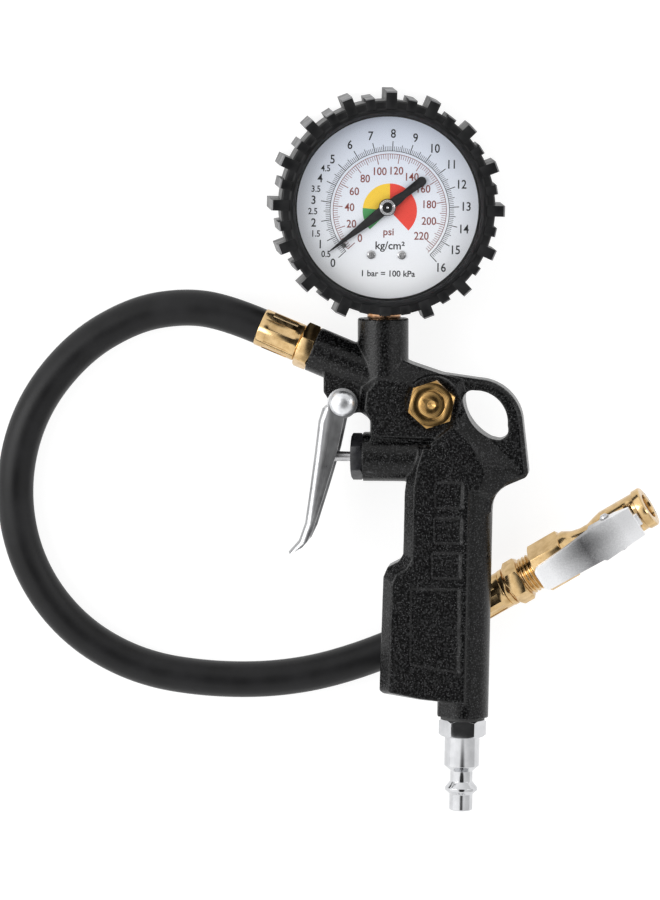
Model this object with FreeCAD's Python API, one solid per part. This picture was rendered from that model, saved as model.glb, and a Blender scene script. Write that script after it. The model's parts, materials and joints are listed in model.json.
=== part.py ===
"""Tyre inflator with gauge, laid down on a table: +Z up, +Y towards the gauge, +X towards the hang loop.

The gun is drawn in its own flat frame (see "Frames" below) and laid down as it rests: the rubber boot of the
gauge touches the table, and the grip lies across the hose.  The hose and the chuck lie on the table.
The origin is the bottom centre of the gun, without the hose and what is on it.  Lengths are millimetres.
"""

import FreeCAD, Part
import math
import os

V = FreeCAD.Vector

# ---------------------------------------------------------------- driving dimensions
# How the gun lies
body_roll = 8.0            # the casting is turned this much about the gauge stem
gun_pitch = 2.2            # the gauge end lies lower than the grip end
gun_x, gun_y, gun_z = -2.36, -1.69, 18.961   # place of the crossing of the stem and valve axes

# Casting
grip_half = 9.6            # half thickness of the grip slab
column_r = 8.5             # round air column at the back of the grip, also the inlet boss
gauge_boss_r = 8.4
gauge_boss_top = 45.8
hose_boss_r = 7.5
hose_axis_angle = 157.5    # outward direction of the hose boss, from +X
hose_axis_start = V(0, 26, 0)
hose_boss_end = 25.0       # along the hose axis
valve_boss_r = 8.15
valve_boss_left = -6.6
plate_half = 9.0           # half thickness of the upper plate
ear_half = 6.0             # half thickness of the trigger ear
loop_half = 5.5            # half thickness of the hang loop
loop_rim = 1.3             # bevel around the outside of the loop
loop_rim_from = 29.5       # the bevel leaves out the part of the outline inside the casting
plug_centre = V(17.0, 18.5, 0)
spot_face_r = 9.0
spot_face_z = 8.8
washer_thickness = 1.0

# Air ways in the casting
stem_thread_r = 4.86       # G 1/8
stem_socket_bottom = 33.0
air_way_r = 2.0
chamber_r = 5.0
chamber_right = 25.0
nut_thread_r = 6.0
nut_thread_right = -2.6
inlet_thread_r = 6.58      # G 1/4
inlet_thread_depth = 10.0
inlet_y = -86.3
inlet_hex_turn = -5.5      # degrees; one flat of the inlet plug's hexagon faces straight up as the gun lies
column_top = V(27.9, -8.0, 0)
column_bottom = V(26.35, inlet_y, 0)

# Valve
plunger_r = 1.65
plunger_tip = -20.56
stem_bore_r = 1.71
valve_nut_af = 13.5
poppet_x = 12.0

# Trigger
pivot = V(-12.8, 18.2, 0)
pin_r = 2.0
trigger_inner_half = 6.3
trigger_outer_half = 7.9
rivet_head_r = 4.2

# Gauge (own frame: origin on the case axis, stem along -Y in the plane z = 0)
gauge_centre = V(0.9, 82.7, 0)
gauge_lean = 1.0           # towards +X, about the foot of the neck
gauge_foot = V(0, 31, 0)
case_r = 31.5
case_wall = 0.9
case_back = -11.2
case_front = 13.6
boot_r = 35.0
boot_back = -14.5
boot_front = 15.6
boot_lip_r = 30.3
boot_teeth = 32
boot_first_tooth = 269.2   # degrees, direction of the tooth over the neck; every other tooth from it is long
tooth_long = 38.0
tooth_short = 36.0
tooth_at_neck = 35.1
neck_side = 16.0           # degrees each side of the neck where the teeth stand back
tooth_draft = 0.7          # the teeth stand this much further out at the back
window_z = 12.0
dial_z = 7.6
dial_r = 30.2

# Gauge movement
gear_module = 0.3
pinion_teeth = 10
sector_teeth_full = 110    # teeth of the whole wheel that the sector is cut from
pointer_rest = 218.0       # degrees, pointer direction on its stop
pointer_travel = 264.5     # degrees clockwise to the end of the scale
sector_pivot_angle = 240.0
link_angle = 30.0
tail_r = 5.5
link_play = 0.14
link_length = 29.75        # between the two pins of the link

# Hose
hose_r = 6.0
hose_bore_r = 3.15
ferrule_r = 6.3
ferrule_length = 14.3
nipple_hex = 13.6
nipple_hex_length = 4.7

# Chuck (own frame: along its axis from the hose side of its ferrule)
chuck_length = 69.9
chuck_bore_r = 4.2
chuck_seal_s = 61.3        # front of the rubber seal
mouth_depth = 5.8          # length of the mouth's bore; a wider groove lies between it and the seal
mouth_groove_r = 4.5
chuck_hex = 14.6
chuck_hex_turn = 17.4      # degrees, both hexagons of the chuck
depressor_tip_s = 63.8
clip_pivot_s = 56.6
clip_pivot_h = 6.4
clip_pin_r = 1.0
clip_rear_s = 28.1
clip_step_s = 50.6         # in front of here the lever is wider
clip_front_s = 65.6
lever_thickness = 1.2
lever_wall = 1.1
chuck_x = 29.91            # hose end of the chuck's ferrule, from the gun's crossing point and the floor
chuck_y = -53.01
chuck_z = 8.2
chuck_heading = 32.3       # degrees from +X
chuck_rise = 12.1          # degrees, the mouth is higher
clip_spring_s = 41.6
clip_spring_foot = 5.45     # height of the spring's seat over the chuck's axis
clip_roll = 4.6            # the clip side is turned towards the lower right


# ---------------------------------------------------------------- small helpers
def cylinder(radius, base, axis, length):
    return Part.makeCylinder(radius, length, base, axis)


def tube(outer, inner, base, axis, length):
    return cylinder(outer, base, axis, length).cut(cylinder(inner, base, axis, length))


def turned(profile, base=V(0, 0, 0), axis=V(0, 0, 1)):
    """Solid of revolution; the profile is a closed list of (along, radius)."""
    points = [V(radius, 0, along) for along, radius in profile]
    face = Part.Face(Part.makePolygon(points + [points[0]]))
    solid = face.revolve(V(0, 0, 0), V(0, 0, 1), 360)
    solid.Placement = FreeCAD.Placement(base, FreeCAD.Rotation(V(0, 0, 1), axis))
    return solid


def hexagon(across_flats, base, axis, length, turn=0.0, chamfer=0.0):
    """Hexagonal bar; a chamfer rounds its corners at both ends."""
    corner_r = across_flats / math.sqrt(3)
    corners = []
    for k in range(7):
        a = math.radians(60 * k + turn)
        corners.append(V(corner_r * math.cos(a), corner_r * math.sin(a), 0))
    bar = Part.Face(Part.makePolygon(corners)).extrude(V(0, 0, length))
    if chamfer > 0:
        flat_r = across_flats / 2 + 0.15
        drop = chamfer * (corner_r - flat_r)
        bar = bar.common(turned([(0, 0), (0, flat_r), (drop, corner_r + 0.05),
                                 (length - drop, corner_r + 0.05),
                                 (length, flat_r), (length, 0)]))
    bar.Placement = FreeCAD.Placement(base, FreeCAD.Rotation(V(0, 0, 1), axis))
    return bar


def slab(points, low, high):
    """Prism over a closed outline of (x, y) points, from z = low to z = high."""
    corners = [V(x, y, low) for x, y in points]
    return Part.Face(Part.makePolygon(corners + [corners[0]])).extrude(V(0, 0, high - low))


def block(x0, y0, z0, x1, y1, z1):
    return Part.makeBox(x1 - x0, y1 - y0, z1 - z0, V(x0, y0, z0))


def fuse(shapes):
    result = shapes[0]
    for shape in shapes[1:]:
        result = result.fuse(shape)
    return result.removeSplitter()


def helix(radius, wire_r, height, turns):
    """Coil spring along +Z from z = 0, its wire inside the height."""
    pitch = (height - 2 * wire_r) / turns
    path = Part.makeHelix(pitch, height - 2 * wire_r, radius)
    ring = Part.Wire(Part.makeCircle(wire_r, V(radius, 0, 0), V(0, 1, pitch / (2 * math.pi * radius))))
    coil = Part.Wire(path).makePipeShell([ring], True, True)
    coil.translate(V(0, 0, wire_r))
    return coil


def placed(shape, placement):
    copy = shape.copy()
    copy.Placement = placement.multiply(copy.Placement)
    return copy


# ---------------------------------------------------------------- frames
def turn_about(point, axis, angle):
    rotation = FreeCAD.Rotation(axis, angle)
    return FreeCAD.Placement(point - rotation.multVec(point), rotation)


lay_down = FreeCAD.Placement(V(gun_x, gun_y, gun_z), FreeCAD.Rotation(V(1, 0, 0), -gun_pitch))
body_frame = lay_down.multiply(turn_about(V(0, 0, 0), V(0, 1, 0), -body_roll))
gauge_frame = lay_down.multiply(turn_about(gauge_foot, V(0, 0, 1), -gauge_lean)).multiply(
    FreeCAD.Placement(V(0, gauge_centre.y, 0), FreeCAD.Rotation()))

hose_dir = V(math.cos(math.radians(hose_axis_angle)), math.sin(math.radians(hose_axis_angle)), 0)
stem_dir = V(math.sin(math.radians(gauge_lean)), math.cos(math.radians(gauge_lean)), 0)
hose_port = hose_axis_start + hose_dir * hose_boss_end


# ---------------------------------------------------------------- gun casting (body frame)
def bevelled_slab(outer, inner, edge_half, face_half):
    """Slab with its outer outline up to edge_half and its inner outline at face_half, on both sides."""
    core = slab(outer, -edge_half, edge_half)
    low = Part.makePolygon([V(x, y, edge_half) for x, y in outer + outer[:1]])
    high = Part.makePolygon([V(x, y, face_half) for x, y in inner + inner[:1]])
    crown = Part.makeLoft([low, high], True, True)
    return core.fuse(crown).fuse(crown.mirror(V(0, 0, 0), V(0, 0, 1)))


def outline_face(start, steps, z=0.0):
    """Face inside a closed outline; a step is (x, y), or (middle, end) for an arc through middle."""
    edges = []
    here = V(start[0], start[1], z)
    for step in steps + [start]:
        if isinstance(step[0], tuple):
            middle = V(step[0][0], step[0][1], z)
            there = V(step[1][0], step[1][1], z)
            edges.append(Part.Arc(here, middle, there).toShape())
        else:
            there = V(step[0], step[1], z)
            if there.distanceToPoint(here) > 1e-6:
                edges.append(Part.LineSegment(here, there).toShape())
        here = there
    return Part.Face(Part.Wire(edges))


def two_sided(face, half):
    face = face.copy()
    face.translate(V(0, 0, -half))
    return face.extrude(V(0, 0, 2 * half))


def make_grip():
    outer = [(10, 3.6), (8.3, -5.5), (7.5, -11.2), (7.0, -31.8), (5.6, -34.2), (1.8, -36.2), (0.4, -39.5),
             (-0.9, -77.2), (0.3, -78.2), (12.4, -80.2), (29.0, -81.8), (31, -12), (31, 3.6)]
    inner = [(14, 3.6), (12, -2.5), (10.8, -9.8), (10.3, -32.8), (8.3, -36.4), (4.9, -38.4), (3.7, -41),
             (2.4, -76.4), (3.2, -77.4), (12.6, -79.3), (27.7, -81.0), (29.2, -12), (29.2, 3.6)]
    grip = bevelled_slab(outer, inner, 5.2, grip_half)
    axis = column_top - column_bottom
    column = cylinder(column_r, column_bottom, axis, axis.Length + 12)
    for side in (1, -1):
        groove = cylinder(1.9, column_bottom + V(2.9, 2, side * 10.0), axis, axis.Length - 2)
        grip = grip.cut(groove)
        column = column.cut(groove)
        flat = block(-4, -9, 0, 4, 6, 3)
        flat.Placement = FreeCAD.Placement(column_bottom, FreeCAD.Rotation(V(0, 1, 0), -side * 42)).multiply(
            FreeCAD.Placement(V(0, 0, 7.5 if side > 0 else -10.5), FreeCAD.Rotation()))
        column = column.cut(flat)
    return grip.fuse(column)


def make_plate():
    outer = [(-3.9, 7.4), (-3.9, 12.8), (-7.4, 15.4), (-7.0, 24), (-2, 33), (8.4, 31.8), (12.4, 29.7),
             (19.1, 28),
             (27, 26.2), (28, 21), (27.4, 14.5), (29, 5.8), (14, 5.8)]
    inner = [(-3.4, 7.4), (-3.3, 12.2), (-5.4, 16.4), (-4.6, 22), (-1, 26), (6.8, 25.4), (12.2, 22.6),
             (18, 24.4),
             (24, 23.4), (26.2, 20), (24.6, 13), (27.2, 7.0), (14, 7.0)]
    return bevelled_slab(outer, inner, 5.2, plate_half)


def make_ear():
    r = 4.9
    def rim(angle):
        a = math.radians(angle)
        return (pivot.x + r * math.cos(a), pivot.y + r * math.sin(a))
    face = outline_face((-19.25, 30), [(-19.25, 21.8), (-18.3, 20.3), rim(168), (rim(238), rim(308)),
                                       ((-7.3, 15.0), (-3.9, 12.6)), (-3.9, 2), (6, 2), (6, 32)])
    return two_sided(face, ear_half)


def make_loop():
    outer = outline_face((8.4, 31.6), [(19.1, 28), (31.8, 26.2), ((41.8, 21.8), (46.2, 13.4)), (48.1, -3.8),
                                       ((47.7, -5.7), (46.3, -6.7)), (41.6, -8.7), ((37.4, -12.4),
                                                                                    (36.1, -17.8)),
                                       (28, -20), (20, 8)])
    hole = outline_face((26.9, 18.9), [((27.7, 21.6), (30.7, 22.5)), ((38.2, 19.6), (41.4, 10.9)),
                                       ((40.6, 7.2), (38.0, 6.2)), (35.8, 6.7), ((30.2, 11.0), (26.9, 18.9))])
    loop = two_sided(outer, loop_half)
    boxes = [(edge, edge.BoundBox) for edge in loop.Edges]
    rims = [edge for edge, box in boxes if box.ZLength < 0.01 and box.XMax > loop_rim_from]
    return loop.makeChamfer(loop_rim, rims).cut(two_sided(hole, loop_half + 5)), hole


def make_shoulder():
    """Sloping faces between the thick grip and the thin hang loop."""
    outer = [(16, 5.0), (25.2, 16.4), (29.2, 13.6), (34.6, 7.4), (45.8, -3.4), (45.4, -5.4), (41.2, -8.0),
             (37.2, -12.0), (36.0, -13.2), (26, -13.2)]
    inner = [(16, 5.0), (23.4, 10.8), (26.0, 8.6), (29.1, 5.5), (33.7, -3.8), (33.9, -5.2), (33.6, -7.0),
             (32.0, -10.2), (26, -10.2)]
    return bevelled_slab(outer, inner, loop_half, grip_half)


def cut_panels(casting):
    squares = [(17.7, -16.1, 27.0, -7.4), (17.4, -27.7, 26.7, -19.1), (16.7, -39.4, 26.3, -30.7)]
    for low, high in ((grip_half - 0.5, 20), (-20, 0.5 - grip_half)):
        for x0, y0, x1, y1 in squares:
            casting = casting.cut(block(x0, y0, low, x1, y1, high))
        casting = casting.cut(slab([(9.7, -42.7), (26.0, -42.7), (25.8, -70.7), (9.6, -68.1)], low, high))
    return casting


def make_casting():
    gauge_boss = cylinder(gauge_boss_r, V(0, 20, 0), V(0, 1, 0), gauge_boss_top - 20)
    hose_boss = cylinder(hose_boss_r, hose_axis_start, hose_dir, hose_boss_end)
    valve_boss = cylinder(valve_boss_r, V(valve_boss_left, 0, 0), V(1, 0, 0), 24)
    plug_boss = cylinder(spot_face_r, V(plug_centre.x, plug_centre.y, 0), V(0, 0, 1), spot_face_z)
    loop, hole = make_loop()
    casting = make_grip()
    for piece in (make_plate(), make_ear(), loop, make_shoulder(), valve_boss, gauge_boss, hose_boss,
                  plug_boss):
        casting = casting.fuse(piece)
    casting = casting.cut(two_sided(hole, 20))
    casting = cut_panels(casting).removeSplitter()
    axis = (column_top - column_bottom).normalize()
    cuts = [
        cylinder(pin_r, V(pivot.x, pivot.y, -10), V(0, 0, 1), 20),
        cylinder(nut_thread_r, V(valve_boss_left - 1, 0, 0), V(1, 0, 0),
                 nut_thread_right - valve_boss_left + 1),
        cylinder(chamber_r, V(nut_thread_right - 1, 0, 0), V(1, 0, 0), chamber_right - nut_thread_right + 1),
        cylinder(inlet_thread_r, column_bottom - axis, axis, inlet_thread_depth + 1),
        cylinder(3.0, column_bottom, axis, -inlet_y),
        cylinder(2.5, V(chamber_right - 1, 0, 0), V(1, 0, 0), 6),
        cylinder(air_way_r, V(3, 0, 0), V(0, 1, 0), stem_socket_bottom + 1),
        cylinder(stem_thread_r, hose_port - hose_dir * 10, hose_dir, 11),
        cylinder(air_way_r, V(2, 25.2, 0), hose_dir, 20),
        cylinder(spot_face_r, plug_centre + V(0, 0, spot_face_z), V(0, 0, 1), 6),
        cylinder(stem_thread_r, plug_centre + V(0, 0, -2), V(0, 0, 1), 15),
        cylinder(1.5, plug_centre, V(0, -1, 0), plug_centre.y),
    ]
    for cutter in cuts:
        casting = casting.cut(cutter)
    casting = placed(casting, turn_about(V(0, 0, 0), V(0, 1, 0), -body_roll))
    return casting.cut(cylinder(stem_thread_r, gauge_foot + stem_dir * 2, stem_dir, 20))


# ---------------------------------------------------------------- valve, trigger and fittings (body frame)
def make_valve_nut():
    x = V(1, 0, 0)
    nut = hexagon(valve_nut_af, V(-10.4, 0, 0), x, 3.8, 30, 0.6)
    nut = nut.fuse(cylinder(nut_thread_r, V(-6.6, 0, 0), x, 4.0))
    nut = nut.cut(cylinder(stem_bore_r, V(-11, 0, 0), x, 9))
    return nut.cut(cylinder(3.55, V(-4.8, 0, 0), x, 3))


def make_stem_ring():
    return Part.makeTorus(2.63, 0.88, V(-3.7, 0, 0), V(1, 0, 0))


def make_plunger():
    profile = [(plunger_tip, 0), (plunger_tip + 0.35, 1.1), (plunger_tip + 1.1, plunger_r), (8.4, plunger_r),
               (8.8, 1.3), (poppet_x, 1.3), (poppet_x, 2.2), (poppet_x + 1.2, 2.2), (poppet_x + 1.2, 4.2),
               (poppet_x + 2.6, 4.2), (poppet_x + 2.6, 2.0), (poppet_x + 5, 2.0), (poppet_x + 5, 0)]
    return turned(profile, V(0, 0, 0), V(1, 0, 0))


def make_valve_seat():
    return tube(chamber_r, 3.0, V(poppet_x - 3, 0, 0), V(1, 0, 0), 3)


def make_poppet_seal():
    return tube(4.2, 2.2, V(poppet_x, 0, 0), V(1, 0, 0), 1.2)


def make_valve_spring():
    start = poppet_x + 2.65
    spring = helix(3.5, 0.45, chamber_right - 0.05 - start, 5)
    return placed(spring, FreeCAD.Placement(V(start, 0, 0), FreeCAD.Rotation(V(0, 0, 1), V(1, 0, 0))))


def make_trigger():
    front = [(-19.6, 16.4), (-20.9, 12.2), (-22.1, 2.2), (-23.9, -11.2), (-25.4, -21.5), (-27.5, -27.4),
             (-30.9, -31.2)]
    rear = [(-24.6, -27.8), (-22.6, -23.6), (-18.7, -11.2), (-14.7, 2.2), (-12.4, 12.8)]
    wall = 1.6
    profile = slab(front + [(-30.2, -32.0), (-26.2, -29.6)] + rear + [(pivot.x, pivot.y)],
                   -trigger_outer_half, trigger_outer_half)
    front_edges = []
    for edge in profile.Edges:
        a, b = edge.Vertexes[0].Point, edge.Vertexes[-1].Point
        middle = (a + b) * 0.5
        on_front = any(abs((q[0] - p[0]) * (middle.y - p[1]) - (q[1] - p[1]) * (middle.x - p[0])) < 0.05
                       and min(p[1], q[1]) < middle.y < max(p[1], q[1]) for p, q in zip(front, front[1:]))
        if on_front and abs(a.z - b.z) < 0.01:
            front_edges.append(edge)
    profile = profile.makeFillet(2.2, front_edges)
    hollow_front = [(x + wall + 0.1, y) for x, y in front[:-2]] + [(-25.0, -28.6)]
    hollow = slab(hollow_front + [(-10, -30), (-5, 20), (-18, 20)], -trigger_inner_half, trigger_inner_half)
    eye = cylinder(5.0, V(pivot.x, pivot.y, -trigger_outer_half), V(0, 0, 1), 2 * trigger_outer_half)
    trigger = profile.fuse(eye).cut(hollow)
    trigger = trigger.cut(cylinder(5.2, V(pivot.x, pivot.y, -trigger_inner_half), V(0, 0, 1),
                                   2 * trigger_inner_half))
    return trigger.cut(cylinder(pin_r + 0.06, V(pivot.x, pivot.y, -20), V(0, 0, 1), 40)).removeSplitter()


def make_trigger_pin():
    profile = [(-9.6, 0), (-9.6, 1.6), (-9.2, pin_r), (-8.7, pin_r), (-8.7, 1.5), (-8.1, 1.5), (-8.1, pin_r),
               (8.0, pin_r), (8.0, rivet_head_r), (8.6, rivet_head_r), (9.6, 3.3), (10.2, 1.8), (10.4, 0)]
    return turned(profile, V(pivot.x, pivot.y, 0))


def make_pin_clip():
    ring = tube(3.7, 1.5, V(pivot.x, pivot.y, -8.7), V(0, 0, 1), 0.6)
    return ring.cut(block(pivot.x - 0.9, pivot.y - 5, -9, pivot.x + 0.9, pivot.y - 0.4, -8))


def make_gallery_plug():
    z = V(0, 0, 1)
    base = plug_centre + V(0, 0, spot_face_z + washer_thickness)
    head = hexagon(14.0, base, z, 4.6, 18, 0.7)
    top = base + V(0, 0, 4.6)
    groove = tube(4.65, 4.2, top - V(0, 0, 0.3), z, 1)
    dimple = Part.makeCone(0.1, 1.4, 0.7, top - V(0, 0, 0.7), z)
    stem = cylinder(stem_thread_r, plug_centre + V(0, 0, 1.5), z, spot_face_z - 0.5)
    return head.cut(groove).cut(dimple).fuse(stem)


def make_plug_washer():
    return tube(6.9, stem_thread_r, plug_centre + V(0, 0, spot_face_z), V(0, 0, 1), washer_thickness)


inlet_axis = (column_bottom - column_top).normalize()


def make_inlet_plug():
    profile = [(-9.5, 2.3), (-9.5, inlet_thread_r), (6.5, inlet_thread_r), (6.5, 5.85), (16.3, 5.85),
               (18.2, 3.75),
               (21.7, 3.75), (23.7, 5.4), (24.6, 5.4), (26.0, 3.92), (31.0, 3.92), (31.4, 3.5), (31.4, 2.3)]
    plug = turned(profile, column_bottom, inlet_axis)
    nut = hexagon(13.6, column_bottom + inlet_axis * 0.9, inlet_axis, 5.6, inlet_hex_turn, 0.7)
    nut = nut.cut(cylinder(3, column_bottom, inlet_axis, 8))
    return plug.fuse(nut).removeSplitter()


def make_inlet_washer():
    return tube(7.3, inlet_thread_r, column_bottom, inlet_axis, 0.9)


def make_hose_nipple():
    profile = [(-9.8, 1.6), (-9.8, stem_thread_r), (0.2, stem_thread_r), (0.2, 5.0), (nipple_hex_length, 5.0),
               (nipple_hex_length, hose_bore_r), (18.4, hose_bore_r), (18.9, 2.6), (18.9, 1.6)]
    nut = hexagon(nipple_hex, hose_port, hose_dir, nipple_hex_length, 0, 0.6)
    return turned(profile, hose_port, hose_dir).fuse(nut.cut(cylinder(4.0, hose_port, hose_dir, 6)))


def crimped_ferrule():
    """Ferrule along +Z from its fitting end; the hose leaves at +Z."""
    sleeve = turned([(0, hose_bore_r + 0.05), (0, 5.9), (0.5, ferrule_r), (ferrule_length - 0.4, ferrule_r),
                     (ferrule_length, 6.1), (ferrule_length, 5.2), (1.0, 5.2), (1.0, hose_bore_r + 0.05)])
    for k in range(8):
        a = 45 * k
        pocket = block(ferrule_r - 0.45, -1.5, 2.6, ferrule_r + 2, 1.5, 11.3)
        pocket.rotate(V(0, 0, 0), V(0, 0, 1), a)
        sleeve = sleeve.cut(pocket)
    return sleeve


# ---------------------------------------------------------------- gauge (gauge frame)
def make_boot():
    z0, z1 = boot_back, boot_front
    shell = turned([(z0, 18), (z0, 33.8), (z0 + 1, boot_r), (z1 - 1.6, boot_r), (z1 - 0.9, 34.4),
                    (z1 - 0.9, 32.6), (z1, 32.0), (z1, 31.2), (z1 - 1.4, boot_lip_r), (z1 - 1.9, boot_lip_r),
                    (z1 - 1.9, case_r + 0.06), (case_back - 0.06, case_r + 0.06), (case_back - 0.06, 18)])
    for k in range(boot_teeth):
        angle = boot_first_tooth + k * 360 / boot_teeth
        is_long = k % 2 == 0
        reach = tooth_long if is_long else tooth_short
        draft = tooth_draft
        if abs((angle - 270 + 180) % 360 - 180) < neck_side:
            reach = tooth_at_neck
            draft = 0.1
        half_width = 1.75 if is_long else 1.5
        points = [(33.2, z0 + 1.4), (reach + draft, z0 + 1.0), (reach + 0.1, z1 - 0.5), (reach - 0.4, z1),
                  (32.2, z1), (32.2, z1 - 1.2), (33.2, z1 - 1.6)]
        corners = [V(r, -half_width, z) for r, z in points]
        tooth = Part.Face(Part.makePolygon(corners + [corners[0]])).extrude(V(0, 2 * half_width, 0))
        tooth.rotate(V(0, 0, 0), V(0, 0, 1), angle)
        shell = shell.fuse(tooth)
    shell = shell.cut(cylinder(5.7, V(0, -50, 0), V(0, 1, 0), 30))
    return shell.cut(cylinder(9.2, V(0, -50, 0), V(0, 1, 0), 13.7))


def make_case():
    inner = case_r - case_wall
    cup = turned([(case_back, 0), (case_back, case_r - 1), (case_back + 1, case_r), (case_front, case_r),
                  (case_front, inner), (case_back + case_wall, inner), (case_back + case_wall, 0)])
    cup = cup.cut(cylinder(5.6, V(0, -40, 0), V(0, 1, 0), 14))
    for x in (-4, 4):
        cup = cup.cut(cylinder(0.8, V(x, -26, case_back - 1), V(0, 0, 1), 3))
        cup = cup.cut(Part.makeCone(1.7, 0.8, 0.9, V(x, -26, case_back), V(0, 0, 1)))
    return cup


def make_case_screws():
    screws = []
    for x in (-4, 4):
        head = Part.makeCone(1.7, 0.8, 0.9, V(x, -26, case_back), V(0, 0, 1))
        shank = cylinder(0.8, V(x, -26, case_back + 0.9), V(0, 0, 1), 4.2)
        slot = block(x - 2, -26.2, case_back - 1, x + 2, -25.8, case_back + 0.4)
        screws.append(head.fuse(shank).cut(slot))
    return Part.makeCompound(screws)


def make_gasket():
    return tube(case_r - case_wall - 0.05, 29.7, V(0, 0, window_z - 1.0), V(0, 0, 1), 1.0)


def make_spacer():
    return tube(case_r - case_wall - 0.05, 30.0, V(0, 0, dial_z + 0.5), V(0, 0, 1),
                window_z - 1.0 - dial_z - 0.5)


def make_window():
    return turned([(window_z, 0), (window_z, 30.55), (window_z + 1.6, 30.55), (window_z + 1.6, 29.9),
                   (window_z + 2.0, 29.2), (window_z + 2.2, 26), (window_z + 2.2, 0)])


tube_r = 23.5
tube_z = -3.0
tube_start = 262.0
tube_end = -6.0


def oval(rx, rz):
    stadium = [V(tube_r - rx, 0, tube_z - rz + rx), V(tube_r, 0, tube_z - rz),
               V(tube_r + rx, 0, tube_z - rz + rx),
               V(tube_r + rx, 0, tube_z + rz - rx), V(tube_r, 0, tube_z + rz), V(tube_r - rx, 0,
                                                                                 tube_z + rz - rx)]
    edges = [Part.Arc(stadium[0], stadium[1], stadium[2]).toShape(),
             Part.LineSegment(stadium[2], stadium[3]).toShape(),
             Part.Arc(stadium[3], stadium[4], stadium[5]).toShape(),
             Part.LineSegment(stadium[5], stadium[0]).toShape()]
    return Part.Face(Part.Wire(edges))


def make_bourdon_tube(hollow=True):
    section = oval(1.3, 3.6)
    if hollow:
        section = section.cut(oval(0.95, 3.25)).Faces[0]
    coil = section.revolve(V(0, 0, 0), V(0, 0, 1), tube_start - tube_end)
    coil.rotate(V(0, 0, 0), V(0, 0, 1), tube_end)
    return coil


def polar(r, angle, z=0.0):
    a = math.radians(angle)
    return V(r * math.cos(a), r * math.sin(a), z)


pinion_r = gear_module * pinion_teeth / 2
sector_r = gear_module * sector_teeth_full / 2
gear_ratio = sector_teeth_full / pinion_teeth
sector_travel = pointer_travel / gear_ratio
sector_pivot = polar(pinion_r + sector_r, sector_pivot_angle)
link_dir = polar(1, link_angle)
tail_mid_angle = link_angle - 90
tail_pin = sector_pivot + polar(tail_r, tail_mid_angle - sector_travel / 2)
tip_travel = 2 * tail_r * math.sin(math.radians(sector_travel / 2))
link_hole = (sector_pivot + polar(tail_r * (1 + math.cos(math.radians(sector_travel / 2))) / 2,
                                  tail_mid_angle)
             - link_dir * (tip_travel / 2))
tip_pin = link_hole + link_dir * link_length


def make_gauge_socket():
    neck_foot = gauge_boss_top - gauge_centre.y + 0.25
    stem = cylinder(stem_thread_r, V(0, stem_socket_bottom - gauge_centre.y + 0.6, 0), V(0, 1, 0), 16)
    neck = cylinder(5.5, V(0, neck_foot, 0), V(0, 1, 0), 37.2 - 29.6)
    head = block(-7, -29.6, case_back + case_wall, 7, -21.6, 0.9)
    socket = stem.fuse(neck).fuse(head).common(cylinder(case_r - case_wall - 0.03, V(0, 0, -20),
                                                        V(0, 0, 1), 40).fuse(
        cylinder(5.5, V(0, -60, 0), V(0, 1, 0), 34)))
    socket = socket.cut(cylinder(1.5, V(0, -60, 0), V(0, 1, 0), 34))
    socket = socket.cut(make_bourdon_tube(hollow=False))
    socket = socket.cut(cylinder(1.0, V(0, -27.0, 0), V(-3.4, 3.6, tube_z), 5.4))
    for x in (-4, 4):
        socket = socket.cut(cylinder(0.8, V(x, -26, case_back), V(0, 0, 1), 5.1))
        socket = socket.cut(cylinder(0.7, V(x, -25.5, -2), V(0, 0, 1), 5))
    return socket.removeSplitter()


def make_bourdon_tip():
    x, y = tip_pin.x, tip_pin.y
    tip = slab([(x - 1.5, y - 1.7), (25.0, y - 1.7), (25.3, -2.78), (21.7, -2.4), (x - 1.5, -2.9)],
               tube_z - 3.2, 0.4)
    tip = tip.fuse(cylinder(0.95, V(x, y, 0.4), V(0, 0, 1), 1.6))
    return tip.cut(cylinder(0.6, V(x, y, -0.8), V(0, 0, 1), 5))


def make_link_pin():
    pin = cylinder(0.6, tip_pin + V(0, 0, -0.8), V(0, 0, 1), 3.4)
    return pin.fuse(cylinder(1.0, tip_pin + V(0, 0, 2.6), V(0, 0, 1), 0.4))


def make_link():
    along = link_dir
    across = V(-along.y, along.x, 0)
    z = V(0, 0, 2.0)
    corners = [link_hole + across * 1.0, tip_pin + across * 1.0, tip_pin - across * 1.0,
               link_hole - across * 1.0]
    bar = Part.Face(Part.makePolygon([c + z for c in corners + corners[:1]])).extrude(V(0, 0, 0.6))
    for end in (link_hole, tip_pin):
        bar = bar.fuse(cylinder(1.25, end + z, V(0, 0, 1), 0.6))
    bar = bar.cut(cylinder(0.6, tip_pin, V(0, 0, 1), 5))
    return bar.cut(cylinder(0.6 + link_play, link_hole, V(0, 0, 1), 5)).removeSplitter()


def gear_teeth(pitch_r, tooth_angles, thickness):
    """Separate teeth that stand on a pitch circle, with room between their flanks."""
    solids = []
    root, tip = pitch_r - 1.15 * gear_module, pitch_r + 0.8 * gear_module
    half_root, half_pitch, half_tip = 0.21, 0.16, 0.085
    for angle in tooth_angles:
        corners = [V(root - 0.25, -half_root, 0), V(root, -half_root, 0), V(pitch_r, -half_pitch, 0),
                   V(tip, -half_tip, 0), V(tip, half_tip, 0), V(pitch_r, half_pitch, 0), V(root, half_root,
                                                                                           0),
                   V(root - 0.25, half_root, 0)]
        tooth = Part.Face(Part.makePolygon(corners + [corners[0]])).extrude(V(0, 0, thickness))
        tooth.rotate(V(0, 0, 0), V(0, 0, 1), angle)
        solids.append(tooth)
    return solids


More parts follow.
